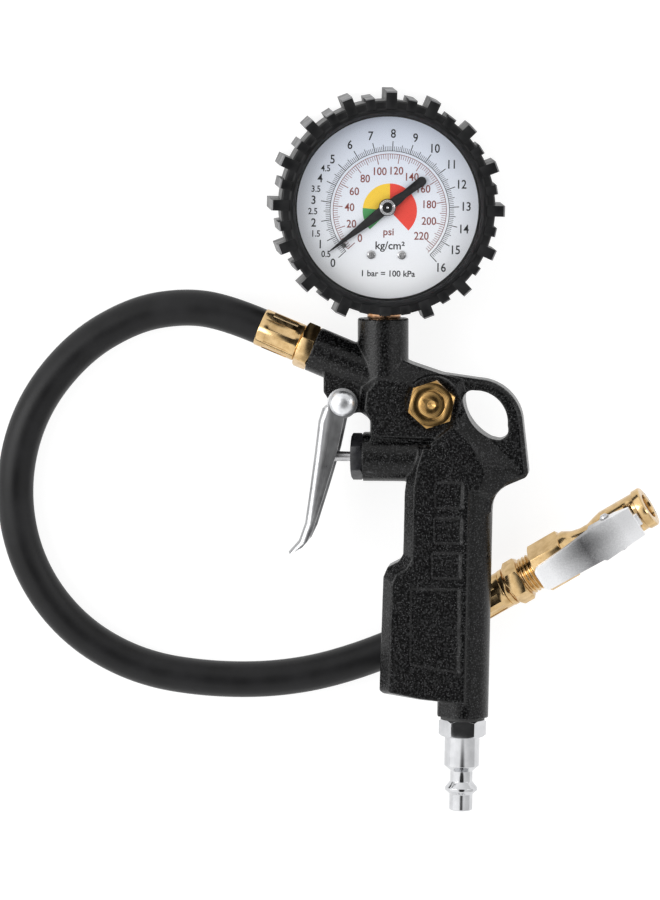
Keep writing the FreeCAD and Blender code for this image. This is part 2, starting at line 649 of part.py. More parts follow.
def make_sector():
    step = 360 / sector_teeth_full
    toward_pinion = sector_pivot_angle - 180
    angles = [toward_pinion + k * step for k in range(-9, 3)]
    root = sector_r - 1.15 * gear_module
    first, last = angles[0] - 2.2, angles[-1] + 2.2
    rim = [polar(root, first + (last - first) * k / 12) for k in range(13)]
    fan = Part.Face(Part.makePolygon([V(0, 0, 0)] + rim + [V(0, 0, 0)])).extrude(V(0, 0, 0.8))
    middle = (first + last) / 2
    window = [polar(5.0, middle - 9), polar(13.2, middle - 12), polar(13.2, middle + 12),
              polar(5.0, middle + 9)]
    fan = fan.cut(Part.Face(Part.makePolygon(window + window[:1])).extrude(V(0, 0, 0.8)))
    for tooth in gear_teeth(sector_r, angles, 0.8):
        fan = fan.fuse(tooth)
    fan = fan.fuse(cylinder(2.4, V(0, 0, 0), V(0, 0, 1), 0.8))
    tail = tail_pin - sector_pivot
    across = V(-tail.y, tail.x, 0).normalize()
    corners = [across * 1.3, tail + across * 1.1, tail - across * 1.1, across * -1.3]
    arm = Part.Face(Part.makePolygon(corners + corners[:1])).extrude(V(0, 0, 0.8))
    fan = fan.fuse(arm).fuse(cylinder(1.1, tail, V(0, 0, 1), 0.8))
    fan.translate(V(0, 0, 3.0))
    fan = fan.fuse(cylinder(0.6, tail + V(0, 0, 1.9), V(0, 0, 1), 1.1))
    fan = fan.fuse(cylinder(0.8, V(0, 0, 0.95), V(0, 0, 1), 6.0))
    fan.translate(sector_pivot)
    return fan.removeSplitter()


def make_pinion():
    step = 360 / pinion_teeth
    angles = [sector_pivot_angle + (k + 0.5) * step for k in range(pinion_teeth)]
    gear = cylinder(pinion_r - 1.15 * gear_module, V(0, 0, 0), V(0, 0, 1), 1.4)
    for tooth in gear_teeth(pinion_r, angles, 1.4):
        gear = gear.fuse(tooth)
    gear.translate(V(0, 0, 2.7))
    gear = gear.fuse(cylinder(0.6, V(0, 0, 0.95), V(0, 0, 1), 9.0))
    return gear.fuse(cylinder(1.0, V(0, 0, 4.5), V(0, 0, 1), 0.8)).removeSplitter()


def make_hairspring():
    turns, inner, outer, strip = 4.0, 1.15, 4.6, 0.07
    count = int(turns * 16)
    def side(offset):
        return [polar(inner + (outer - inner) * k / count + offset,
                      360 * turns * k / count) for k in range(count + 1)]
    near = Part.BSplineCurve()
    near.interpolate(side(0))
    far = Part.BSplineCurve()
    far.interpolate(side(strip))
    a, b = side(0), side(strip)
    edges = [near.toShape(), Part.LineSegment(a[-1], b[-1]).toShape(), far.toShape(),
             Part.LineSegment(b[0], a[0]).toShape()]
    spiral = Part.Face(Part.Wire(Part.__sortEdges__(edges))).extrude(V(0, 0, 0.5))
    spiral.translate(V(0, 0, 4.65))
    return spiral


pillar_places = [(6.3, 2.7), (-7.2, 3.4), (2.6, -20.4), (-12.2, -10.2)]


def plate_face(z, height, foot):
    points = [(-8.8, 5.0), (7.9, 4.4), (7.9, -8), (6.5, -14), (6.5, foot), (-6.5, foot), (-6.5, -22.6),
              (-10.2, -19.4),
              (-14, -14), (-14, -8.4)]
    plate = slab(points, z, z + height)
    plate = plate.cut(cylinder(0.65, V(0, 0, z - 1), V(0, 0, 1), 4))
    return plate.cut(cylinder(0.85, sector_pivot + V(0, 0, z - 1), V(0, 0, 1), 4))


def make_back_plate():
    plate = plate_face(0.9, 0.8, -29.0)
    for x in (-4, 4):
        plate = plate.cut(cylinder(0.7, V(x, -25.5, 0), V(0, 0, 1), 3))
    for x, y in pillar_places:
        plate = plate.cut(cylinder(0.6, V(x, y, 0), V(0, 0, 1), 3))
    return plate.common(cylinder(30.4, V(0, 0, 0), V(0, 0, 1), 5))


def make_front_plate():
    plate = plate_face(6.2, 0.8, -22.0)
    for x, y in pillar_places:
        plate = plate.cut(cylinder(0.6, V(x, y, 5), V(0, 0, 1), 3))
    for x in (-5, 5):
        plate = plate.cut(cylinder(0.7, V(x, -15.6, 5), V(0, 0, 1), 3))
    return plate.fuse(cylinder(0.5, V(5.22, 0, 4.4), V(0, 0, 1), 2.0))


def make_pillars():
    pillars = []
    for x, y in pillar_places:
        pillar = cylinder(1.2, V(x, y, 1.7), V(0, 0, 1),
                          4.5).fuse(cylinder(0.6, V(x, y, 0.9), V(0, 0, 1), 0.8))
        pillars.append(pillar.cut(cylinder(0.6, V(x, y, 3.5), V(0, 0, 1), 4)))
    return Part.makeCompound(pillars)


def make_movement_screws():
    screws = []
    for x, y in pillar_places:
        screw = cylinder(1.2, V(x, y, 7.0), V(0, 0, 1),
                         0.5).fuse(cylinder(0.6, V(x, y, 3.6), V(0, 0, 1), 3.4))
        screws.append(screw.cut(block(x - 2, y - 0.15, 7.2, x + 2, y + 0.15, 8)))
    for x in (-4, 4):
        screw = cylinder(1.3, V(x, -25.5, 1.7), V(0, 0, 1),
                         0.7).fuse(cylinder(0.7, V(x, -25.5, -1.9), V(0, 0, 1), 3.6))
        screws.append(screw.cut(block(x - 2, -25.65, 2.1, x + 2, -25.35, 3)))
    return Part.makeCompound(screws)


def make_dial():
    dial = cylinder(dial_r, V(0, 0, dial_z), V(0, 0, 1), 0.5).cut(cylinder(1.6, V(0, 0, 0), V(0, 0, 1), 20))
    for x in (-5, 5):
        dial = dial.cut(cylinder(0.7, V(x, -15.6, 5), V(0, 0, 1), 5))
    pin = stop_pin_place()
    return dial.cut(cylinder(0.4, V(pin.x, pin.y, 5), V(0, 0, 1), 5))


def make_dial_screws():
    screws = []
    for x in (-5, 5):
        top = V(x, -15.6, dial_z + 0.5)
        screw = turned([(0, 0), (0, 1.4), (0.35, 1.4), (0.7, 0.9), (0.7, 0)], top)
        screw = screw.fuse(cylinder(0.7, V(x, -15.6, 6.3), V(0, 0, 1), dial_z + 0.5 - 6.3))
        screw = screw.fuse(cylinder(1.2, V(x, -15.6, 7.0), V(0, 0, 1), dial_z - 7.0))
        for angle in (15, 105):
            bar = block(-0.8, -0.15, 0, 0.8, 0.15, 2)
            bar.rotate(V(0, 0, 0), V(0, 0, 1), angle)
            bar.translate(top + V(0, 0, 0.3))
            screw = screw.cut(bar)
        screws.append(screw)
    return Part.makeCompound(screws)


def stop_pin_place():
    return polar(18.9, pointer_rest + 4.15)


def make_stop_pin():
    place = stop_pin_place()
    pin = cylinder(0.8, V(place.x, place.y, dial_z + 0.5), V(0, 0, 1), 1.6)
    return pin.fuse(cylinder(0.4, V(place.x, place.y, dial_z + 0.1), V(0, 0, 1), 0.4))


def make_pointer():
    needle = slab([(24.5, 0.12), (4, 1.65), (-4, 1.65), (-7, 1.2), (-14.1, 1.5), (-14.1, -1.5), (-7, -1.2),
                   (-4, -1.65),
                   (4, -1.65), (24.5, -0.12)], 9.0, 9.5)
    needle = needle.fuse(cylinder(1.5, V(-14.1, 0, 9.0), V(0, 0, 1), 0.5))
    needle = needle.fuse(cylinder(2.8, V(0, 0, 8.4), V(0, 0, 1), 1.6))
    needle = needle.cut(cylinder(0.6, V(0, 0, 8), V(0, 0, 1), 3))
    needle.rotate(V(0, 0, 0), V(0, 0, 1), pointer_rest)
    return needle.removeSplitter()


def make_pointer_cap():
    return turned([(10.0, 0), (10.0, 2.6), (10.3, 2.6), (10.5, 2.35), (10.5, 2.05), (10.8, 1.9), (10.8, 0.35),
                   (10.6, 0)])


# ---------------------------------------------------------------- chuck (chuck frame: +Z along, +X to the clip)
def make_chuck_stem():
    profile = [(0.3, 2.0), (0.3, 2.7), (0.8, hose_bore_r), (ferrule_length, hose_bore_r),
               (ferrule_length, 6.5),
               (15.7, 6.5), (15.7, 5.2), (16.5, 5.2), (16.5, 6.0), (21.5, 6.0), (21.5, 5.6)]
    pitch = 1.34
    for k in range(8):
        at = 22.0 + k * pitch
        profile += [(at, 5.6), (at + 0.5, 6.4), (at + 0.75, 6.4), (at + 1.25, 5.6)]
    profile += [(33.0, 5.6), (33.0, 2.0)]
    stem = turned(profile)
    nut = hexagon(13.4, V(0, 0, 16.5), V(0, 0, 1), 5.0, chuck_hex_turn, 0.9)
    return stem.fuse(nut.cut(cylinder(4, V(0, 0, 10), V(0, 0, 1), 20)))


def make_chuck_body():
    profile = [(37.0, 0), (37.0, 6.9), (38.6, 7.2), (40.1, 7.2), (43.1, 5.6), (46.0, 5.0), (49.0, 5.0),
               (52.0, 5.9),
               (54.5, 6.5), (66.9, 6.5), (67.2, 7.0), (69.5, 7.0), (chuck_length, 6.7), (chuck_length, 0)]
    body = turned(profile)
    nut = hexagon(chuck_hex, V(0, 0, 27.0), V(0, 0, 1), 11.6, chuck_hex_turn, 0.5)
    body = body.fuse(nut)
    lug = block(0, -4.2, 52.7, 7.0, 4.2, 60.5)
    lug = lug.fuse(cylinder(2.2, V(clip_pivot_h, -4.2, clip_pivot_s), V(0, 1, 0), 8.4))
    body = body.fuse(lug).removeSplitter()
    z = V(0, 0, 1)
    cuts = [
        cylinder(6.42, V(0, 0, 26), z, 7.2),
        cylinder(2.0, V(0, 0, 30), z, 40),
        cylinder(3.2, V(0, 0, 38), z, 15.5),
        cylinder(chuck_bore_r, V(0, 0, 58.2), z, 20),
        cylinder(clip_pin_r, V(clip_pivot_h, -10, clip_pivot_s), V(0, 1, 0), 20),
        cylinder(4.8, V(0, 0, 58.2), z, chuck_seal_s - 58.2),
        cylinder(mouth_groove_r, V(0, 0, chuck_seal_s), z, chuck_length - mouth_depth - chuck_seal_s),
        block(2.8, -8, 63.2, 12, 8, 65.8),
        cylinder(3.0, V(5.1, 0, clip_spring_s), V(1, 0, 0), 6),
    ]
    for cutter in cuts:
        body = body.cut(cutter)
    return body


def make_chuck_seal():
    return turned([(58.2, 2.6), (58.2, 4.8), (chuck_seal_s, 4.8), (chuck_seal_s, 3.0),
                   (chuck_seal_s - 0.3, 2.6)])


def make_depressor():
    tip = depressor_tip_s
    return turned([(tip - 15.8, 0), (tip - 15.8, 1.1), (tip - 12.3, 1.1), (tip - 12.3, 2.9),
                   (tip - 10.4, 2.9),
                   (tip - 10.4, 1.1), (tip - 0.4, 1.1), (tip, 0.8), (tip, 0)])


def make_depressor_spring():
    spring = helix(2.2, 0.3, 13.2, 6)
    spring.translate(V(0, 0, 38.15))
    return spring


def lever_top(s):
    """Height of the lever's upper face above the chuck axis."""
    return 9.3 + (clip_front_s - s) * 0.11


def lever_side(s0, s1, drop0, drop1):
    """Part of the lever's side view, as deep as drop0 and drop1 below its upper face."""
    points = [(lever_top(s0), s0), (lever_top(s1), s1), (lever_top(s1) - drop1, s1),
              (lever_top(s0) - drop0, s0)]
    corners = [V(h, -10, s) for h, s in points]
    return Part.Face(Part.makePolygon(corners + [corners[0]])).extrude(V(0, 20, 0))


def lever_plan(wall):
    """The lever's outline from above, wall inside its outer one."""
    widths = [(clip_rear_s + wall, 4.3), (clip_step_s - 0.8, 5.5), (clip_step_s + wall, 6.2),
              (clip_front_s, 5.45)]
    edge = [(s, half - wall) for s, half in widths]
    points = edge + [(s, -half) for s, half in reversed(edge)]
    corners = [V(0, y, s) for s, y in points]
    return Part.Face(Part.makePolygon(corners + [corners[0]])).extrude(V(20, 0, 0))


def make_clip_lever():
    rear, step, front = clip_rear_s, clip_step_s, clip_front_s
    side = lever_side(rear, 39.5, 2.0, 2.0).fuse(lever_side(39.5, step, 2.0, 4.0))
    side = side.fuse(lever_side(step, 60.0, 4.0, 4.0)).fuse(lever_side(60.0, front, 4.0, lever_thickness))
    ear = cylinder(1.85, V(clip_pivot_h, -10, clip_pivot_s), V(0, 1, 0), 20)
    web = block(clip_pivot_h, -10, clip_pivot_s - 1.85, lever_top(clip_pivot_s) - 0.5, 10,
                clip_pivot_s + 1.85)
    lever = side.fuse(ear).fuse(web).common(lever_plan(0))
    points = [(lever_top(20) - lever_thickness, 20), (lever_top(63.0) - lever_thickness, 63.0), (0, 63.0),
              (0, 20)]
    corners = [V(h, -10, s) for h, s in points]
    under = Part.Face(Part.makePolygon(corners + [corners[0]])).extrude(V(0, 20, 0))
    lever = lever.cut(under.common(lever_plan(lever_wall)))
    claw = block(4.32, -4.3, 63.85, lever_top(64.4) - 0.3, 4.3, 65.05)
    tongue = block(7.0, -2.0, 64.5, 8.7, 2.0, 66.7)
    lever = lever.fuse(claw).fuse(tongue)
    for y in (-1, 1):
        corner = block(0, min(y * 2.4, y * 6.5), rear - 1, 20, max(y * 2.4, y * 6.5), rear + 1.9)
        rounding = cylinder(1.9, V(0, y * 2.4, rear + 1.9), V(1, 0, 0), 20)
        lever = lever.cut(corner.cut(rounding))
    return lever.cut(cylinder(clip_pin_r + 0.06, V(clip_pivot_h, -10, clip_pivot_s), V(0, 1, 0),
                              20)).removeSplitter()


def make_clip_pin():
    pin = cylinder(clip_pin_r, V(clip_pivot_h, -6.9, clip_pivot_s), V(0, 1, 0), 13.8)
    for way in (-1, 1):
        head = Part.makeCone(1.6, 1.2, 0.6, V(clip_pivot_h, 6.1 * way, clip_pivot_s), V(0, way, 0))
        pin = pin.fuse(head)
    return pin.removeSplitter()




def make_clip_spring():
    height = lever_top(clip_spring_s) - lever_thickness - clip_spring_foot - 0.35
    spring = helix(2.0, 0.32, height, 3.5)
    spring.Placement = FreeCAD.Placement(V(clip_spring_foot, 0, clip_spring_s),
                                         FreeCAD.Rotation(V(0, 0, 1), V(1, 0, 0)))
    return spring


# ---------------------------------------------------------------- where the chuck lies, and the hose
def lying_frame():
    """Placement of the chuck frame: its axis over the floor, its clip side turned down to the right."""
    heading, rise, roll = math.radians(chuck_heading), math.radians(chuck_rise), math.radians(clip_roll)
    along = V(math.cos(heading) * math.cos(rise), math.sin(heading) * math.cos(rise), math.sin(rise))
    right = V(math.sin(heading), -math.cos(heading), 0)
    up = right.cross(along)
    clip_side = up * math.cos(roll) + right * math.sin(roll)
    origin = V(chuck_x + gun_x, chuck_y + gun_y, chuck_z)
    return FreeCAD.Placement(origin, FreeCAD.Rotation(clip_side, along.cross(clip_side), along, "XYZ"))


chuck_frame = lying_frame()
gun_ferrule_frame = body_frame.multiply(FreeCAD.Placement(
    hose_port + hose_dir * nipple_hex_length, FreeCAD.Rotation(V(0, 0, 1), hose_dir)))
chuck_ferrule_frame = chuck_frame.multiply(FreeCAD.Placement(
    V(0, 0, ferrule_length), FreeCAD.Rotation(V(1, 0, 0), 180)))


def over_floor(x, y, z=hose_r + 0.05):
    """Point of the hose's centre line, from the gun's crossing point and the floor."""
    return V(x + gun_x, y + gun_y, z)


hose_route = [
    gun_ferrule_frame.multVec(V(0, 0, ferrule_length)),
    gun_ferrule_frame.multVec(V(0, 0, 26.5)),
    over_floor(-65.0, 49.2, 8.3),
    over_floor(-81.9, 46.3, 6.5),
    over_floor(-101.2, 34.8),
    over_floor(-117.0, 14.0),
    over_floor(-122.9, -11.7),
    over_floor(-118.2, -37.6),
    over_floor(-103.4, -59.1),
    over_floor(-81.4, -72.5),
    over_floor(-55.2, -77.0),
    over_floor(-28.6, -76.4),
    over_floor(-4.0, -69.9),
    chuck_frame.multVec(V(0, 0, -10.3)),
    chuck_frame.multVec(V(0, 0, 0)),
]


def rounded_path(points):
    """Straight runs joined by tangent arcs, and the radius of each arc."""
    edges, radii = [], []
    here = points[0]
    for before, corner, after in zip(points, points[1:], points[2:]):
        into = corner - before
        out = after - corner
        turn = into.getAngle(out)
        cut = 0.45 * min(into.Length, out.Length)
        radii.append(cut / math.tan(turn / 2))
        into.normalize()
        out.normalize()
        first = corner - into * cut
        last = corner + out * cut
        bisector = (out - into).normalize()
        middle = corner + bisector * (radii[-1] / math.cos(turn / 2) - radii[-1])
        edges.append(Part.LineSegment(here, first).toShape())
        edges.append(Part.Arc(first, middle, last).toShape())
        here = last
    edges.append(Part.LineSegment(here, points[-1]).toShape())
    return Part.Wire(edges), radii


hose_path, hose_radii = rounded_path(hose_route)


def swept(radius):
    start = hose_route[0]
    ring = Part.Wire(Part.makeCircle(radius, start, hose_route[1] - start))
    return hose_path.makePipeShell([ring], True, True)


def make_hose():
    hose = swept(hose_r).cut(swept(hose_bore_r))
    end = tube(5.15, hose_bore_r, V(0, 0, 1.2), V(0, 0, 1), ferrule_length - 1.2)
    hose = hose.fuse(placed(end, gun_ferrule_frame))
    return hose.fuse(placed(end, chuck_ferrule_frame))


# ---------------------------------------------------------------- all pieces
still = FreeCAD.Placement()
pieces = {
    "body": (make_casting, lay_down),
    "valve_nut": (make_valve_nut, body_frame),
    "stem_oring": (make_stem_ring, body_frame),
    "valve_seat": (make_valve_seat, body_frame),
    "plunger": (make_plunger, body_frame),
    "poppet_seal": (make_poppet_seal, body_frame),
    "valve_spring": (make_valve_spring, body_frame),
    "trigger": (make_trigger, body_frame),
    "trigger_pin": (make_trigger_pin, body_frame),
    "pin_clip": (make_pin_clip, body_frame),
    "gallery_plug": (make_gallery_plug, body_frame),
    "plug_washer": (make_plug_washer, body_frame),
    "inlet_plug": (make_inlet_plug, body_frame),
    "inlet_washer": (make_inlet_washer, body_frame),
    "hose_nipple": (make_hose_nipple, body_frame),
    "gun_ferrule": (crimped_ferrule, gun_ferrule_frame),
    "hose": (make_hose, still),
    "chuck_ferrule": (crimped_ferrule, chuck_ferrule_frame),
    "chuck_stem": (make_chuck_stem, chuck_frame),
    "chuck_body": (make_chuck_body, chuck_frame),
    "chuck_seal": (make_chuck_seal, chuck_frame),
    "depressor": (make_depressor, chuck_frame),
    "depressor_spring": (make_depressor_spring, chuck_frame),
    "clip_lever": (make_clip_lever, chuck_frame),
    "clip_pin": (make_clip_pin, chuck_frame),
    "clip_spring": (make_clip_spring, chuck_frame),
    "gauge_socket": (make_gauge_socket, gauge_frame),
    "gauge_case": (make_case, gauge_frame),
    "gauge_boot": (make_boot, gauge_frame),
    "case_screws": (make_case_screws, gauge_frame),
    "window_gasket": (make_gasket, gauge_frame),
    "window_spacer": (make_spacer, gauge_frame),
    "gauge_window": (make_window, gauge_frame),
    "dial": (make_dial, gauge_frame),
    "dial_screws": (make_dial_screws, gauge_frame),
    "stop_pin": (make_stop_pin, gauge_frame),
    "pointer": (make_pointer, gauge_frame),
    "pointer_cap": (make_pointer_cap, gauge_frame),
    "pinion": (make_pinion, gauge_frame),
    "sector": (make_sector, gauge_frame),
    "hairspring": (make_hairspring, gauge_frame),
    "back_plate": (make_back_plate, gauge_frame),
    "front_plate": (make_front_plate, gauge_frame),
    "pillars": (make_pillars, gauge_frame),
    "movement_screws": (make_movement_screws, gauge_frame),
    "bourdon_tube": (make_bourdon_tube, gauge_frame),
    "bourdon_tip": (make_bourdon_tip, gauge_frame),
    "link": (make_link, gauge_frame),
    "link_pin": (make_link_pin, gauge_frame),
}
on_the_hose = ("hose", "chuck_ferrule", "chuck_stem", "chuck_body", "chuck_seal", "depressor",
               "depressor_spring",
               "clip_lever", "clip_pin", "clip_spring")

os.makedirs("parts", exist_ok=True)
gun_box = FreeCAD.BoundBox()
for name, (make, placement) in pieces.items():
    shape = placed(make(), placement)
    box = shape.optimalBoundingBox()
    if name not in on_the_hose:
        gun_box.add(box)
    print("%-18s solids %d valid %s volume %9.1f  x %7.2f %7.2f  y %7.2f %7.2f  z %6.2f %6.2f" % (
        name, len(shape.Solids), shape.isValid(), shape.Volume, box.XMin, box.XMax, box.YMin, box.YMax,
        box.ZMin, box.ZMax))
    shape.exportStep("parts/" + name + ".step")

print("gun box x %.3f %.3f  y %.3f %.3f  z %.3f %.3f" % (
    gun_box.XMin, gun_box.XMax, gun_box.YMin, gun_box.YMax, gun_box.ZMin, gun_box.ZMax))
print("hose radii", ["%.0f" % radius for radius in hose_radii])
print("hose length %.1f between ferrules, section x length %.0f" % (
    hose_path.Length, hose_path.Length * math.pi * (hose_r ** 2 - hose_bore_r ** 2)))
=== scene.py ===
import json
import math

import bpy
import bmesh
from mathutils import Matrix, Vector


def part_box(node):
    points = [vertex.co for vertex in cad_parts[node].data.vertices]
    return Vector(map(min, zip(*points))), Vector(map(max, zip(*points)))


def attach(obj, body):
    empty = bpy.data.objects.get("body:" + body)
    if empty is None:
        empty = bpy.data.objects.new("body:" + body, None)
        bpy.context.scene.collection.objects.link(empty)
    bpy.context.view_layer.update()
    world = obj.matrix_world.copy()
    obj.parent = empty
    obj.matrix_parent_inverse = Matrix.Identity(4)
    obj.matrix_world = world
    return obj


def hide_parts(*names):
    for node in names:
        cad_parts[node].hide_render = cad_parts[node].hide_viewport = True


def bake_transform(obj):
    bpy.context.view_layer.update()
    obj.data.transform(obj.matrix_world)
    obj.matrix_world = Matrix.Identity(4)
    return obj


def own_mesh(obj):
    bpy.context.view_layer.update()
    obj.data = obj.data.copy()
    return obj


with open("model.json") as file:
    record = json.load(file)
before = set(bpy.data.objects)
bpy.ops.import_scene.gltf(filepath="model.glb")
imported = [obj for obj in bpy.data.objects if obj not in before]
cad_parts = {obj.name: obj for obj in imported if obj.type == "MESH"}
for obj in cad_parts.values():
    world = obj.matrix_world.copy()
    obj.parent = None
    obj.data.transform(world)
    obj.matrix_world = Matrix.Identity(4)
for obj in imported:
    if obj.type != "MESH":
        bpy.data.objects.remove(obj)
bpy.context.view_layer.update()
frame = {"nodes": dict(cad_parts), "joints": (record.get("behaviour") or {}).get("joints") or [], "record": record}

nodes = frame["nodes"]
joints = {joint["name"]: joint for joint in frame["joints"]}
record = frame["record"]
body_of = {node: body for body, members in record["behaviour"]["bodies"].items() for node in members}
slot_of = {part["node"]: part["material_slot"] for part in record["subparts"]}
MM = 0.001

# ---------------------------------------------------------------- where things are, from the joints
gauge_origin = Vector(joints["pointer_turn"]["pos_m"])
gauge_z = Vector(joints["pointer_turn"]["axis"])
link_angle = math.radians(30)              # direction of the link in the gauge's own plane
gauge_x = Matrix.Rotation(-link_angle, 3, gauge_z) @ Vector(joints["tip_flex"]["axis"])
gauge_y = gauge_z.cross(gauge_x)


def axes_matrix(origin, x, y, z):
    """Placement whose axes are x, y and z, with lengths in millimetres turned into metres."""
    turn = Matrix((x, y, z)).transposed().to_4x4()
    return Matrix.Translation(origin) @ turn @ Matrix.Scale(MM, 4)


gauge_place = axes_matrix(gauge_origin, gauge_x, gauge_y, gauge_z)
chuck_along = -Vector(joints["depressor_slide"]["axis"])
clip_across = Vector(joints["clip_swing"]["axis"])
clip_side = clip_across.cross(chuck_along)
casting_z = Vector(joints["trigger_swing"]["axis"])
casting_x = Vector(joints["plunger_slide"]["axis"])
casting_x = (casting_x - casting_z * casting_x.dot(casting_z)).normalized()


# ---------------------------------------------------------------- node tools for the materials
class Finish:
    """A material under construction: its node tree and a few calls that add detail to it."""

    def __init__(self, name, color, roughness, metallic=0.0, **inputs):
        self.material = bpy.data.materials.new(name)
        self.material.use_nodes = True
        self.tree = self.material.node_tree
        self.shader = self.tree.nodes["Principled BSDF"]
        self.shader.inputs["Base Color"].default_value = (*color, 1)
        self.shader.inputs["Roughness"].default_value = roughness
        self.shader.inputs["Metallic"].default_value = metallic
        for key, value in inputs.items():
            self.shader.inputs[key.replace("_", " ")].default_value = value
        self.coordinates = self.tree.nodes.new("ShaderNodeTexCoord")

    def node(self, kind, **settings):
        made = self.tree.nodes.new(kind)
        for key, value in settings.items():
            if key in made.inputs:
                made.inputs[key].default_value = value
            else:
                setattr(made, key, value)
        return made

    def link(self, output, target):
        self.tree.links.new(output, target)

    def stretched(self, stretch):
        """Object coordinates, scaled apart along their axes."""
        mapping = self.node("ShaderNodeMapping")
        mapping.inputs["Scale"].default_value = stretch
        self.link(self.coordinates.outputs["Object"], mapping.inputs["Vector"])
        return mapping.outputs["Vector"]

    def seen_from(self, origin, x, y, z):
        """Coordinates in metres along x, y and z from an origin."""
        turn = Matrix((x, y, z)).to_quaternion().to_matrix()
        mapping = self.node("ShaderNodeMapping")
        mapping.inputs["Rotation"].default_value = turn.to_euler()
        mapping.inputs["Location"].default_value = -(turn @ Vector(origin))
        self.link(self.coordinates.outputs["Object"], mapping.inputs["Vector"])
        return mapping.outputs["Vector"]

    def rings(self, coordinates, spacing_mm, distortion=0.0):
        """Waves in rings around the z axis of the coordinates."""
        wave = self.node("ShaderNodeTexWave", wave_type="RINGS", rings_direction="Z", Distortion=distortion)
        wave.inputs["Scale"].default_value = 1000.0 / spacing_mm * math.pi / 10
        self.link(coordinates, wave.inputs["Vector"])
        return wave.outputs["Fac"]

    def along(self, coordinates, axis):
        parts = self.node("ShaderNodeSeparateXYZ")
        self.link(coordinates, parts.inputs["Vector"])
        return parts.outputs[axis]

    def noise(self, size_mm, detail=3.0, coordinates=None):
        """Noise whose grains are about size_mm across."""
        noise = self.node("ShaderNodeTexNoise", Scale=1000.0 / size_mm, Detail=detail)
        self.link(coordinates or self.coordinates.outputs["Object"], noise.inputs["Vector"])
        return noise.outputs["Fac"]

    def cells(self, size_mm):
        cells = self.node("ShaderNodeTexVoronoi", Scale=1000.0 / size_mm)
        self.link(self.coordinates.outputs["Object"], cells.inputs["Vector"])
        return cells.outputs["Distance"]

    def ramp(self, value, low, high, start, end):
        """Value between low and high spread to the range from start to end."""
        spread = self.node("ShaderNodeMapRange")
        spread.inputs["From Min"].default_value = low
        spread.inputs["From Max"].default_value = high
        spread.inputs["To Min"].default_value = start
        spread.inputs["To Max"].default_value = end
        self.link(value, spread.inputs["Value"])
        return spread.outputs["Result"]

    def colors(self, value, dark, light):
        mix = self.node("ShaderNodeMix", data_type="RGBA")
        mix.inputs["A"].default_value = (*dark, 1)
        mix.inputs["B"].default_value = (*light, 1)
        self.link(value, mix.inputs["Factor"])
        self.link(mix.outputs["Result"], self.shader.inputs["Base Color"])

    def sum(self, first, second, share):
        """first plus share times second."""
        total = self.node("ShaderNodeMath", operation="MULTIPLY_ADD")
        self.link(second, total.inputs[0])
        total.inputs[1].default_value = share
        self.link(first, total.inputs[2])
        return total.outputs["Value"]

    def roughness(self, value, low, high, start, end):
        self.link(self.ramp(value, low, high, start, end), self.shader.inputs["Roughness"])

    def bump(self, height, depth_mm, strength=1.0):
        bump = self.node("ShaderNodeBump", Strength=strength, Distance=depth_mm * MM)
        self.link(height, bump.inputs["Height"])
        self.link(bump.outputs["Normal"], self.shader.inputs["Normal"])

    def worn_edges(self):
        """1 on the sharp outer edges and 0 elsewhere; used for edge wear and a painted edge highlight."""
        return self.ramp(self.node("ShaderNodeNewGeometry").outputs["Pointiness"], 0.53, 0.60, 0.0, 1.0)


def powder_coat():
    """Black powder coat with a fine sparkling grain, a little lighter on the edges: partly wear, partly a painted
    edge highlight.
    """
    finish = Finish("powder_coat", (0.003, 0.003, 0.0032), 0.32, Specular_IOR_Level=0.26)
    grain = finish.noise(0.7, detail=5.0)
    flecks = finish.ramp(finish.cells(0.6), 0.27, 0.10, 0.0, 1.0)
    patches = finish.noise(9.0, detail=2.0)
    tone = finish.sum(finish.ramp(grain, 0.52, 0.85, 0.0, 0.4), flecks, 0.6)
    # Lighter on the sharp edges: partly wear, partly a painted edge highlight.
    tone = finish.sum(tone, finish.worn_edges(), 0.3)
    finish.colors(tone, (0.0006, 0.0006, 0.0007), (0.12, 0.122, 0.126))
    finish.roughness(finish.sum(grain, patches, 0.3), 0.4, 0.8, 0.18, 0.34)
    finish.bump(finish.sum(grain, flecks, 0.35), 0.11, 0.8)
    return finish.material


